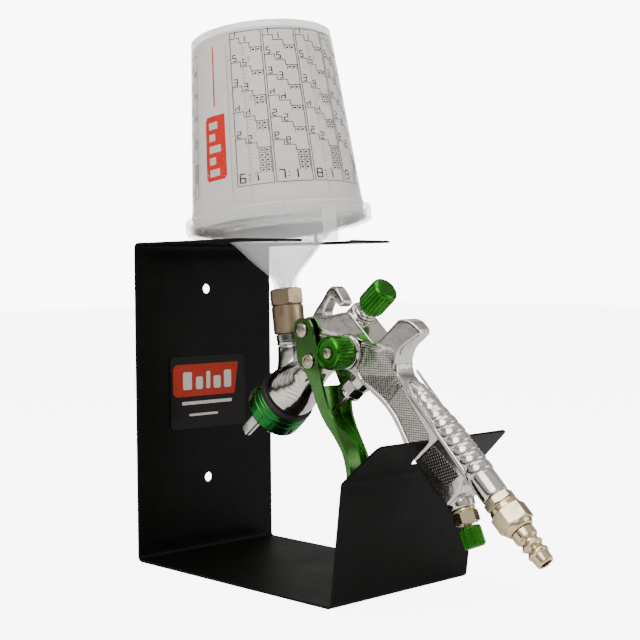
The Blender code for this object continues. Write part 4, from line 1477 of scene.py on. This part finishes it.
# ------------------------------------------------------------------ the gun
@dataclass
class GunBody:
    """The chromed casting: head, neck, web, horn and hook, and the ribbed bar down its back."""

    half: float = 10.0
    grain: float = 0.5
    ribs: int = 9
    rib_pitch: float = 6.8
    rib_end: float = -14.5
    head: float = 17.6  # the steps reach this far from their centre
    head_out: float = 10.3  # and lie only this far off the middle plane or more
    flat_out: float = 3.5  # the sunk flats lie this far off it or more
    rib_most: float = 9.1  # the widest rib's radius

    def outline(self) -> list[Pair]:
        """Gives the side outline of the web and the horn.

        Returns:
            Its points as (f, z), clockwise from the neck.
        """
        top = flowing([(97.0, 128.0), (102.0, 141.0), (104.5, 150.0), (107.5, 158.0), (113.0, 162.0),
                       (121.0, 162.4),
                       (131.0, 162.8), (141.0, 164.8)], 3)
        saddle = [(146.0, 165.4), (149.5, 165.4), (153.0, 163.0), (168.0, 149.5), (170.4, 147.8),
                  (173.0, 147.9), (187.6, 161.4)]
        horn = flowing([(190.0, 162.0), (196.0, 160.6), (201.6, 156.6)], 3) + [(202.4, 153.4)]
        crook = flowing([(197.0, 149.6), (191.0, 145.8), (187.2, 140.4), (186.3, 134.0), (189.4, 127.5),
                         (196.5, 120.5)], 4)
        grip = [(222.0, 97.0), (240.0, 79.0), (236.0, 66.0), (227.0, 58.0)]
        front = flowing([(216.5, 65.5), (205.5, 77.5), (194.5, 89.5), (189.0, 98.5), (180.0, 109.5),
                         (164.0, 120.6), (147.0, 131.0),
                         (131.0, 131.0), (118.0, 127.0), (105.0, 117.5), (97.0, 110.0)], 4)
        return top + saddle + horn + crook + grip + front

    def pocket(self) -> list[Pair]:
        """Gives the outline of the sunk flat with crossed lines on the handle.

        Returns:
            Its points as (f, z).
        """
        return flowing([(160.0, 145.0), (172.0, 143.2), (180.0, 144.6), (184.4, 141.4), (183.6, 133.0),
                        (188.4, 124.6),
                        (197.6, 115.4), (206.6, 105.0), (213.6, 95.4), (208.0, 88.0), (200.6, 87.0),
                        (195.6, 93.6),
                        (187.6, 105.8), (178.0, 114.6), (167.0, 121.6), (158.6, 127.4), (156.6, 136.0)], 4,
                        closed=True)

    def web(self) -> Shape:
        """Makes the web, rounded at its edges and thinner at the horn.

        Returns:
            The web.
        """
        shape = Shape.from_side("gun_casting", self.outline(), -self.half, self.half).soften(2.6, 4, 40.0)
        thin = point(172.0, 124.0)

        def narrow(co: Vector) -> Vector:
            """Draws a vertex of the horn in toward the middle plane."""
            past = (thin.y - co.y) / MM
            if co.z > thin.z and past > 0:
                co.x *= max(0.46, 1.0 - past * 0.0178)
            return co

        for side in Side:
            depth = (self.half - 0.9) * side.value
            cutter = Shape.from_side("pocket", self.pocket(), depth, depth + 4.0 * side.value)
            shape.cut(cutter)
        return shape.shift(narrow)

    def build(self) -> None:
        """Melts the casting together and adds the ribbed bar, the seams and the knurled inlay."""
        body = self.web()
        head = [(-14.0, 12.0), (-13.0, 14.6), (-0.3, 14.6), (-0.1, 16.4), (0.6, 17.0), (6.0, 17.0),
                (8.0, 16.7), (12.0, 16.0),
                (16.0, 14.8), (22.0, 12.4), (30.0, 11.0), (36.0, 7.0)]
        body.join(Shape.turned("head", head, GUN_AXIS, 96))
        neck = [(-68.0, 9.5), (-60.0, 11.0), (-52.0, 10.4), (-45.0, 9.3), (-40.0, 8.75), (-37.0, 8.7),
                (-36.3, 8.2)]
        body.join(Shape.turned("neck", neck, CUP_AXIS, 64))
        body.join(Shape.turned("knob_seat", [(66.0, 5.0), (78.0, 8.4), (85.8, 8.4), (86.5, 7.8)], GUN_AXIS, 48))
        body.join(Shape.bar("valve_boss", 57.0, 66.0, 7.4, VALVE_AXIS))
        hook = flowing([(109.0, 154.0), (112.5, 163.5), (120.5, 172.5), (125.8, 179.0), (129.8, 181.0),
                        (133.6, 179.6), (138.4, 174.0),
                        (139.6, 170.6), (136.8, 168.2), (133.2, 170.6), (129.6, 173.2), (126.8, 171.4),
                        (122.8, 165.0), (121.5, 156.0)],
                       3, closed=True)
        body.join(Shape.from_side("hook", hook, -4.3, 4.3).soften(1.4, 3, 40.0))
        bar = [(-88.0, 1.6), (-85.0, 3.8), (-80.0, 5.6), (-76.4, 6.2), (-69.0, 6.4), (-60.0, 7.6),
               (-14.5, 7.9), (0.0, 7.4)]
        body.join(Shape.turned("bar_core", bar, GRIP_AXIS, 48))
        body.join(Shape.turned("boss", [(-19.0, 5.5), (-9.0, 6.4), (-4.0, 7.8), (-0.6, 7.8), (0.0, 7.2)],
                               REG_AXIS, 48))
        body.cut(Shape.bar("pivot_bore", -40.0, 40.0, 2.6, PIVOT_AXIS))
        body.cast(self.grain, 3)
        casting = body.done(CHROME, "gun", "gun_body", smooth=50.0)
        self.dress_zones(casting.data)
        self.build_bar()
        self.build_trim()

    def dress_zones(self, mesh: bpy.types.Mesh) -> None:
        """Gives the sunk flats their crossed lines and the head its crescent steps.

        Args:
            mesh: The casting's mesh.
        """
        for finish in (HATCHED, STEPPED):
            mesh.materials.append(finish.material())
        border = self.pocket()
        for face in mesh.polygons:
            f, z, out = (WALL - face.center.y) / MM, face.center.z / MM, abs(face.center.x) / MM
            if out > self.flat_out and abs(face.normal.x) > 0.9 and inside(border, f, z):
                face.material_index = 1
            elif out > self.head_out and math.hypot(f - STEPPED.middle[0], z - STEPPED.middle[1]) < self.head:
                face.material_index = 2

    def build_bar(self) -> None:
        """Makes the ribs, each a low barrel between two fine grooves, and the smooth collar."""
        for i in range(self.ribs):
            start, full = self.rib_end - self.rib_pitch * (self.ribs - i), min(self.rib_most, 6.6 + 0.7 * i)
            end, middle = start + self.rib_pitch, start + self.rib_pitch / 2
            rib = [(start + 0.3, full - 1.4), (start + 0.35, full - 0.8), (start + 0.7, full - 0.42),
                   (start + 1.6, full - 0.14),
                   (middle, full), (end - 1.6, full - 0.14), (end - 0.7, full - 0.42), (end - 0.35, full - 0.8),
                   (end - 0.3, full - 1.4)]
            Shape.turned(f"grip_rib_{i}", rib, GRIP_AXIS, 72).done(CHROME, "gun", smooth=40.0)
        collar = [(-14.1, 7.4), (-13.8, 8.0), (-13.2, 8.25), (-1.6, 8.1), (-0.6, 7.9), (0.0, 7.3)]
        Shape.turned("grip_collar", collar, GRIP_AXIS, 72).done(CHROME, "gun")

    def build_trim(self) -> None:
        """Lays the raised seams and the knurled inlay on both sides."""
        seam = flowing([(187.0, 131.0), (193.4, 124.6), (206.0, 112.0), (219.6, 97.4), (232.8, 83.4),
                        (239.6, 76.0)], 6)
        inlay = [(207.9, 83.0), (217.4, 91.4), (236.0, 76.0), (226.9, 68.6)]
        for side in Side:
            x = self.half * side.value
            tag = side.name.lower()
            bead = cord_along(f"casting_seam_{tag}", [point(f, z, x * 0.98) for f, z in seam], 0.85)
            bead.done(CHROME, "gun")
            plate = Shape.from_side(f"knurled_inlay_{tag}", inlay, x * 0.97, x * 1.045).soften(0.3, 2)
            plate.done(KNURLED, "gun")


@dataclass
class FrontEnd:
    """What screws to the head: seal, ring, air cap and fluid nozzle."""

    lands: int = 16

    def build(self) -> None:
        """Turns and cuts each piece."""
        seal = [(-4.2, 14.9), (-4.2, 18.2), (-3.8, 18.6), (-2.4, 18.8), (-0.8, 18.6), (-0.3, 18.1),
                (-0.3, 14.9)]
        Shape.turned("seal_band", seal, GUN_AXIS, 96, bored=True).done(RUBBER, "gun", "ring_seal")
        ring = [(-21.6, 12.2), (-21.6, 15.4), (-21.2, 16.2), (-20.2, 17.9), (-19.4, 18.8), (-18.4, 19.2),
                (-12.2, 19.3), (-11.6, 19.1),
                (-11.2, 18.5), (-10.4, 18.5), (-10.0, 19.0), (-9.6, 19.2), (-7.8, 19.2), (-7.3, 19.0),
                (-6.9, 18.4), (-6.4, 18.4),
                (-6.0, 18.7), (-4.9, 18.6), (-4.5, 18.2), (-4.5, 14.9), (-20.5, 14.9), (-20.5, 12.2)]
        shape = Shape.turned("cap_ring_shell", ring, GUN_AXIS, 128, bored=True)
        for i in range(self.lands):
            turn = GUN_AXIS @ Matrix.Rotation(2 * math.pi * i / self.lands, 4, "Z")
            wide = 1.1 if i % 2 else 2.2
            shape.cut(Shape.block("groove", (4.0, wide, 7.6), (19.9, 0.0, -15.6), turn))
        shape.soften(0.2, 2, 40.0).done(GREEN_RING, "ring_group", "air_cap_ring")

        cap = [(-26.2, 2.7), (-26.2, 8.0), (-25.8, 9.0), (-25.0, 10.4), (-23.4, 11.2), (-21.4, 11.8),
               (-20.2, 11.9), (-20.2, 14.6),
               (-17.0, 14.6), (-17.0, 9.0), (-22.5, 8.0), (-24.2, 5.0), (-24.2, 2.7)]
        shape = Shape.turned("air_cap_shell", cap, GUN_AXIS, 96, bored=True)
        for side in Side:
            lean = GUN_AXIS @ Matrix.Translation((side.value * 9.55 * MM, 0, -32.1 * MM))
            horn = Shape.block("horn", (4.9, 7.4, 17.8), (0, 0, 0), lean).soften(1.3, 4)
            jets = lean @ Matrix.Rotation(math.radians(-60 * side.value), 4, "Y")
            for along in (-4.6, -1.2):
                horn.cut(Shape.bar("jet", -1.0, 9.0, 0.6, Matrix.Translation((GUN_UP * along * MM)) @ jets, 20))
            shape.join(horn)
        for i in range(6):
            a = math.radians(30 + 60 * i)
            shape.cut(Shape.bar("port", -30.0, -22.0, 0.5, GUN_AXIS, 16,
                                off=(5.4 * math.cos(a), 5.4 * math.sin(a))))
        shape.done(CHROME_TURNED, "cap_group", "air_cap")

        nozzle = [(-27.4, 1.2), (-27.4, 1.9), (-23.0, 2.3), (-19.5, 4.0), (-19.0, 6.2), (-16.0, 6.2),
                  (-15.8, 7.6),
                  (-14.3, 7.6), (-14.3, 1.2)]
        Shape.turned("nozzle_tip", nozzle, GUN_AXIS, 64, bored=True).done(STEEL, "gun", "fluid_nozzle")
        needle = [(-27.0, 0.2), (-25.0, 0.55), (-22.0, 0.8), (94.0, 0.8), (94.0, 2.2), (99.0, 2.2), (99.5, 1.6)]
        Shape.turned("needle_rod", needle, GUN_AXIS, 32).done(STEEL, "needle", "fluid_needle")


@dataclass
class Knobs:
    """The three green knobs with their seats, glands and screw."""

    fine: int = 30

    def build_fluid(self) -> None:
        """Makes the knob behind the needle and its gland."""
        gland = [(86.8, 6.4), (87.0, 6.9), (88.0, 7.0), (88.5, 6.6), (88.7, 5.8), (89.1, 5.6), (89.5, 5.8),
                 (90.2, 5.7),
                 (90.2, 3.2), (86.8, 3.2)]
        Shape.turned("fluid_gland", gland, GUN_AXIS, 72, bored=True).done(CHROME_TURNED, "gun",
                                                                          "fluid_knob_gland")
        profile = [(90.5, 5.0), (90.7, 6.0), (91.6, 7.0), (92.4, 7.7), (93.0, 8.1), (93.6, 8.4), (94.4, 8.5),
                   (107.6, 8.5),
                   (108.6, 8.3), (109.6, 7.8), (110.4, 6.8), (110.8, 5.6), (110.7, 3.0)]
        knob = Shape.turned("fluid_knob_shell", profile, GUN_AXIS, 240).flute(20, 0.75, 92.9, 108.0, 3.0)
        knob.cut(Shape.bar("bore", 85.0, 106.0, 3.3, GUN_AXIS)).done(GREEN_KNOB, "fluid_knob_group",
                                                                     "fluid_knob")

    def build_pattern(self) -> None:
        """Makes the side knob, its seat and its cross-head screw."""
        seat = [(10.3, 8.0), (10.3, 10.4), (10.6, 10.9), (11.6, 11.0), (12.6, 10.7), (13.3, 10.2), (13.7, 9.2),
                (13.7, 8.0)]
        Shape.turned("side_seat_collar", seat, SIDE_AXIS, 96, bored=True).done(CHROME_TURNED, "gun",
                                                                               "pattern_seat")
        profile = [(14.0, 9.2), (14.4, 9.8), (15.2, 10.0), (15.6, 10.3), (16.2, 10.3), (25.4, 10.3),
                   (26.2, 10.2), (27.0, 9.9),
                   (27.9, 9.3), (28.4, 8.7), (28.35, 8.2), (27.7, 7.8), (27.2, 7.7), (27.0, 7.2), (27.0, 4.0),
                   (26.7, 3.7),
                   (25.6, 3.7), (25.6, 2.0), (14.0, 2.0)]
        knob = Shape.turned("pattern_knob_shell", profile, SIDE_AXIS, 240, bored=True).flute(self.fine, 0.62,
                                                                                             15.5, 26.4, 2.4)
        knob.done(GREEN_KNOB, "pattern_knob_group", "pattern_knob")
        head = [(10.4, 1.7), (25.9, 1.7), (25.9, 3.3), (27.6, 3.4), (28.4, 3.0), (28.8, 2.0), (28.9, 0.8)]
        screw = Shape.turned("pattern_screw_head", head, SIDE_AXIS, 48)
        for turn in (20, 110):
            slot = Shape.block("slot", (4.4, 0.75, 2.6), (0, 0, 29.0),
                               SIDE_AXIS @ Matrix.Rotation(math.radians(turn), 4, "Z"))
            screw.cut(slot)
        screw.done(STEEL, "pattern_knob_group", "pattern_knob_screw")

    def build_regulator(self) -> None:
        """Makes the small knob at the end of the handle, its nut and its stem."""
        nut = [(0.3, 6.6), (0.5, 6.9), (1.4, 7.0), (1.7, 6.8), (1.9, 6.2), (9.4, 6.0), (9.4, 3.0), (0.3, 3.0)]
        Shape.turned("regulator_collar", nut, REG_AXIS, 64, bored=True).done(BRIGHT_NICKEL, "gun",
                                                                             "air_regulator_nut")
        flats = hexagon("regulator_flats", 13.4, 2.1, 9.0, REG_AXIS)
        flats.cut(Shape.bar("bore", 0.0, 11.0, 5.4, REG_AXIS)).done(BRIGHT_NICKEL, "gun")
        stem = [(0.3, 2.6), (9.6, 2.6), (9.9, 2.3), (10.3, 2.6), (16.4, 2.6)]
        Shape.turned("regulator_stem", stem, REG_AXIS, 32).done(STEEL, "gun", "air_regulator_stem")
        profile = [(10.6, 5.0), (10.8, 5.8), (11.4, 6.3), (12.2, 6.6), (21.4, 6.6), (22.1, 6.2), (22.7, 5.5),
                   (22.8, 3.0)]
        knob = Shape.turned("regulator_knob_shell", profile, REG_AXIS, 192).flute(16, 0.6, 11.6, 21.6, 2.6)
        knob.cut(Shape.bar("bore", 0.0, 16.8, 2.9, REG_AXIS)).done(GREEN_KNOB, "regulator_knob_group",
                                                                   "air_regulator_knob")

    def build(self) -> None:
        """Makes all three."""
        self.build_fluid()
        self.build_pattern()
        self.build_regulator()


@dataclass
class AirLine:
    """The air valve under the body, and the nut, adapter and plug on the end of the handle."""

    adapter_flats: float = 18.9
    nut_flats: float = 16.0

    def build(self) -> None:
        """Turns each piece and cuts its flats."""
        gland = [(46.0, 4.8), (46.2, 5.8), (46.7, 6.5), (48.1, 6.6), (48.4, 6.2), (48.7, 6.0), (56.7, 6.0),
                 (56.7, 2.0), (46.0, 2.0)]
        Shape.turned("valve_gland_collar", gland, VALVE_AXIS, 64, bored=True).done(CHROME_TURNED, "gun",
                                                                                   "air_valve_gland")
        flats = hexagon("valve_gland_flats", 12.6, 48.8, 56.2, VALVE_AXIS, 0.0)
        flats.cut(Shape.bar("bore", 40.0, 60.0, 5.0, VALVE_AXIS)).done(CHROME_TURNED, "gun")
        stem = [(27.2, 0.9), (27.5, 1.3), (28.2, 1.6), (46.0, 1.6), (64.0, 1.6)]
        Shape.turned("valve_stem_rod", stem, VALVE_AXIS, 32).done(STEEL, "valve_stem", "air_valve_stem")

        nut = [(0.3, 7.2), (0.7, 7.7), (1.2, 7.8), (5.2, 7.8), (6.0, 7.4), (6.0, 4.2), (0.3, 4.2)]
        Shape.turned("inlet_nut_core", nut, GRIP_AXIS, 72, bored=True).done(BRIGHT_NICKEL, "gun",
                                                                            "air_inlet_nut")
        flats = hexagon("inlet_nut_flats", self.nut_flats, 0.6, 5.6, GRIP_AXIS)
        flats.cut(Shape.bar("bore", -1.0, 8.0, 7.0, GRIP_AXIS)).done(BRIGHT_NICKEL, "gun")

        body = [(6.3, 8.2), (6.6, 8.8), (7.2, 9.0), (9.4, 9.0), (9.8, 8.7), (20.2, 8.9), (21.0, 8.7),
                (22.4, 8.2), (23.2, 7.6),
                (23.6, 7.0), (23.6, 4.2), (6.3, 4.2)]
        Shape.turned("adapter_core", body, GRIP_AXIS, 72, bored=True).done(BRIGHT_NICKEL, "gun",
                                                                           "coupling_adapter")
        flats = hexagon("adapter_hexagon", self.adapter_flats, 9.8, 20.2, GRIP_AXIS)
        flats.cut(Shape.bar("bore", 5.0, 25.0, 8.0, GRIP_AXIS)).done(BRIGHT_NICKEL, "gun")

        plug = [(23.9, 6.4), (24.3, 6.8), (28.8, 6.7), (29.4, 6.4), (29.9, 5.5), (30.6, 5.2), (31.8, 5.1),
                (32.4, 5.4), (32.8, 6.1),
                (33.3, 6.4), (33.9, 6.4), (34.4, 6.0), (34.9, 5.2), (35.6, 4.9), (36.8, 4.8), (37.4, 5.2),
                (38.0, 5.9), (38.6, 6.2),
                (39.4, 6.2), (40.0, 5.8), (40.5, 5.4), (45.0, 5.1), (45.9, 4.8), (46.3, 4.3), (46.3, 3.6),
                (45.6, 3.3),
                (23.9, 3.3)]
        Shape.turned("plug_shell", plug, GRIP_AXIS, 96, bored=True).done(BRIGHT_NICKEL, "gun", "coupling_plug")


@dataclass
class Trigger:
    """The pressed green trigger: two arms beside the head that merge into one channel-shaped blade."""

    sheet: float = 1.8
    rows: Sequence[tuple[Pair, Pair,
                         float]] = (  # nozzle-side edge, handle-side edge and half width, from the top down
        ((110.5, 161.2), (117.5, 161.6), 13.9), ((107.0, 158.4), (121.0, 157.4), 14.0),
        ((105.6, 153.5), (122.8, 151.0), 14.0), ((107.2, 144.0), (124.8, 143.5), 14.0),
        ((109.0, 135.0), (127.2, 134.0), 14.0), ((113.8, 128.5), (129.0, 126.0), 14.0),
        ((118.2, 118.0), (130.3, 116.0), 12.4), ((121.5, 106.0), (132.5, 105.0), 10.4),
        ((126.5, 97.0), (137.0, 95.5), 9.2), ((134.5, 88.5), (142.5, 86.0), 9.0),
        ((141.5, 78.5), (147.5, 77.0), 9.0), ((144.8, 66.0), (150.0, 66.0), 9.0),
        ((144.5, 55.0), (149.5, 54.0), 8.6), ((142.5, 49.0), (146.0, 47.0), 7.5),
    )
    turn: int = 3  # steps around each inner corner of the channel
    steps: int = 5  # steps between two rows
    merge: int = 4  # the row where the two arms go over into the channel
    rivet_out: float = 14.3  # how far off the middle plane the arms' outer faces end

    def channel(self, row: Sequence[float]) -> list[tuple[float, float, float]]:
        """Gives one cross-section of the channel.

        Args:
            row: The two edges and the half width, as five numbers.

        Returns:
            Its points as (f, z, x), from one arm's edge around to the other's.
        """
        lf, lz, rf, rz, half = row
        run = Vector((lf - rf, lz - rz))
        radius = min(2.6, run.length * 0.4)
        way = run.normalized()
        half_line = []
        for i in range(self.turn + 1):
            a = math.pi / 2 * i / self.turn
            back = radius * (1 - math.sin(a))
            inset = radius * (1 - math.cos(a))
            half_line.append((lf - way.x * back, lz - way.y * back, half - inset))
        start = (rf, rz, half)
        side = [start] + half_line
        return [(f, z, -x) for f, z, x in side] + [(f, z, x) for f, z, x in reversed(side)]

    def build(self) -> None:
        """Lofts the channel, thickens it, cuts the window and the holes, and fits the screws."""
        table = flowing([(*left, *right, half) for left, right, half in self.rows], self.steps)
        bm = bmesh.new()
        lines = [[bm.verts.new(point(f, z, x)) for f, z,
                  x in self.channel(row)] for row in table[self.steps * self.merge:]]
        for upper, lower in zip(lines, lines[1:]):
            for i in range(len(upper) - 1):
                bm.faces.new((upper[i], upper[i + 1], lower[i + 1], lower[i]))
        shape = Shape("trigger_channel", bm)
        thick = shape.obj.modifiers.new("sheet", "SOLIDIFY")
        thick.thickness, thick.offset, thick.use_even_offset = self.sheet * MM, -1.0, True
        bpy.context.view_layer.update()
        settle(shape.obj)
        inner = 12.5
        window = [(100.0, 175.0), (140.0, 175.0), (140.0, 158.5),
                  *flowing([(114.0, 158.5), (110.5, 150.0), (112.0, 138.0),
                  (117.0, 130.5), (121.5, 121.5), (119.0, 118.5)], 4), (108.0, 118.5), (96.0, 140.0)]
        shape.cut(Shape.from_side("window", window, -inner, inner))
        flat_rows = table[: self.steps * self.merge + 4]
        arm = [(row[0], row[1]) for row in flat_rows] + [(row[2], row[3]) for row in reversed(flat_rows)]
        for side in Side:
            outer = 13.96 * side.value
            shape.join(Shape.from_side("arm", arm, outer - self.sheet * side.value, outer))
        shape.cut(Shape.bar("pivot_hole", -30.0, 30.0, 2.8, PIVOT_AXIS))
        shape.cut(Shape.bar("rivet_hole", -30.0, 30.0, 2.3, RIVET_AXIS))
        shape.soften(0.3, 2, 50.0).done(GREEN_PRESSED, "trigger_group", "trigger", smooth=35.0)

        out = self.rivet_out
        profile = [(-out - 0.8, 2.3), (out, 2.3), (out, 4.6), (out + 0.2, 4.8), (out + 0.9, 4.7),
                   (out + 1.5, 4.1), (out + 1.85, 2.6),
                   (out + 1.9, 0.8)]
        screw = Shape.turned("pivot_screw_head", profile, PIVOT_AXIS, 64)
        slot = Shape.block("slot", (12.0, 1.1, 1.8), (0, 0, out + 2.0),
                           PIVOT_AXIS @ Matrix.Rotation(math.radians(-25), 4, "Z"))
        screw.cut(slot).done(STEEL, "gun", "trigger_pivot_screw")
        nut = hexagon("pivot_nut_flats", 9.0, -out - 3.2, -out, PIVOT_AXIS)
        nut.cut(Shape.bar("bore", -30.0, 0.0, 2.6, PIVOT_AXIS)).done(STEEL, "gun", "trigger_pivot_nut")
        for side in Side:
            rivet = [(10.6, 2.0), (out, 2.0), (out, 4.4), (out + 0.2, 4.7), (out + 0.8, 4.8), (out + 1.2, 4.3),
                     (out + 1.3, 3.4),
                     (out + 1.15, 3.1), (out + 1.5, 2.6), (out + 1.6, 1.0)]
            flip = [(-side.value * height, radius) for height, radius in rivet]
            name = side.name.lower()
            Shape.turned(f"rivet_head_{name}", flip, RIVET_AXIS, 64).done(STEEL, "trigger_group",
                                                                          f"puller_rivet_{name}")


# ------------------------------------------------------------------ the studio
@dataclass
class Studio:
    """Plain pale floor, soft light and the camera."""

    lens: float = 74.456
    eye: tuple[float, float, float] = (-0.569103, -0.620348, 0.187525)
    yaw: float = -0.7612787
    pitch: float = 0.0335412
    roll: float = -0.0086002

    def floor(self) -> None:
        """Lays the floor."""
        bm = bmesh.new()
        bmesh.ops.create_grid(bm, x_segments=8, y_segments=8, size=6.0)
        shape = Shape("studio_floor", bm, Matrix.Translation((0.0, 0.0, -0.0002)))
        shape.obj.data.materials.append(PAPER.material())

    def light(self, name: str, place: Sequence[float], size: Pair, power: float, shade: str = "FFFFFF") -> None:
        """Hangs one soft box, aimed at the object.

        Args:
            name: Its name.
            place: Where it hangs, in metres.
            size: Its two sides, in metres.
            power: Its power in watts.
            shade: Its colour.
        """
        lamp = bpy.data.lights.new(name, "AREA")
        lamp.shape, lamp.size, lamp.size_y, lamp.energy = "RECTANGLE", size[0], size[1], power
        lamp.color = linear(shade)[:3]
        holder = bpy.data.objects.new(name, lamp)
        aim = Vector((0.0, -0.02, 0.15)) - Vector(place)
        holder.matrix_world = Matrix.Translation(place) @ aim.to_track_quat("-Z", "Y").to_matrix().to_4x4()
        bpy.context.scene.collection.objects.link(holder)

    def room(self) -> None:
        """Makes the room: white to the camera, and with soft dark bands for the chrome to mirror."""
        world = bpy.data.worlds.new("studio_room")
        bpy.context.scene.world = world
        world.use_nodes = True
        tree = world.node_tree
        tree.nodes.clear()
        way = add(tree, "SeparateXYZ", {0: add(tree, "TexCoord").outputs["Generated"]}).outputs
        height = add(tree, "MapRange", {0: way[2], 1: -1.0, 2: 1.0})
        level = add(tree, "ValToRGB", {0: height.outputs[0]})
        stops = level.color_ramp.elements
        stops[0].position, stops[0].color = 0.0, (0.55, 0.54, 0.53, 1)
        stops[1].position, stops[1].color = 1.0, (0.95, 0.95, 0.96, 1)
        for position, value in ((0.42, 0.42), (0.47, 0.04), (0.56, 0.05), (0.61, 0.7), (0.74, 0.95),
                                (0.8, 0.3), (0.86, 0.9)):
            stop = stops.new(position)
            stop.color = (value, value * 0.985, value * 0.96, 1)
        seen = add(tree, "Background", {0: (1.0, 1.0, 1.0, 1.0), 1: 9.0})
        mirrored = add(tree, "Background", {0: level.outputs[0], 1: 0.8})
        path = add(tree, "LightPath")
        mix = add(tree, "MixShader",
                  {0: path.outputs["Is Camera Ray"], 1: mirrored.outputs[0], 2: seen.outputs[0]})
        add(tree, "OutputWorld", {0: mix.outputs[0]})

    def camera(self) -> None:
        """Sets the camera."""
        c, s = math.cos, math.sin
        ahead = Vector((-s(self.yaw) * c(self.pitch), c(self.yaw) * c(self.pitch), -s(self.pitch)))
        right = Vector((c(self.yaw), s(self.yaw), 0.0))
        up = right.cross(ahead)
        level = c(self.roll) * right + s(self.roll) * up
        upright = -s(self.roll) * right + c(self.roll) * up
        lens = bpy.data.cameras.new("view")
        lens.lens, lens.sensor_width, lens.clip_start = self.lens, 36.0, 0.01
        holder = bpy.data.objects.new("view", lens)
        turn = Matrix((level, upright, -ahead)).transposed().to_4x4()
        holder.matrix_world = Matrix.Translation(self.eye) @ turn
        bpy.context.scene.collection.objects.link(holder)
        bpy.context.scene.camera = holder

    def build(self) -> None:
        """Sets up everything around the object."""
        self.floor()
        self.room()
        self.light("key", (-0.9, -0.5, 1.1), (0.9, 0.9), 12.0)
        self.light("fill", (0.7, -1.2, 0.5), (0.8, 0.8), 4.5)
        self.light("top", (0.0, 0.1, 1.4), (1.0, 1.0), 8.0)
        self.camera()


def main() -> None:
    """Builds everything in order."""
    logging.basicConfig(level=logging.INFO, format="%(message)s")
    for part in (Stand(), Label(), MixingCup(), GunBody(), FrontEnd(), Knobs(), AirLine(), Trigger(), Studio()):
        LOG.info("building %s", type(part).__name__)
        part.build()


if __name__ == "__main__":
    main()
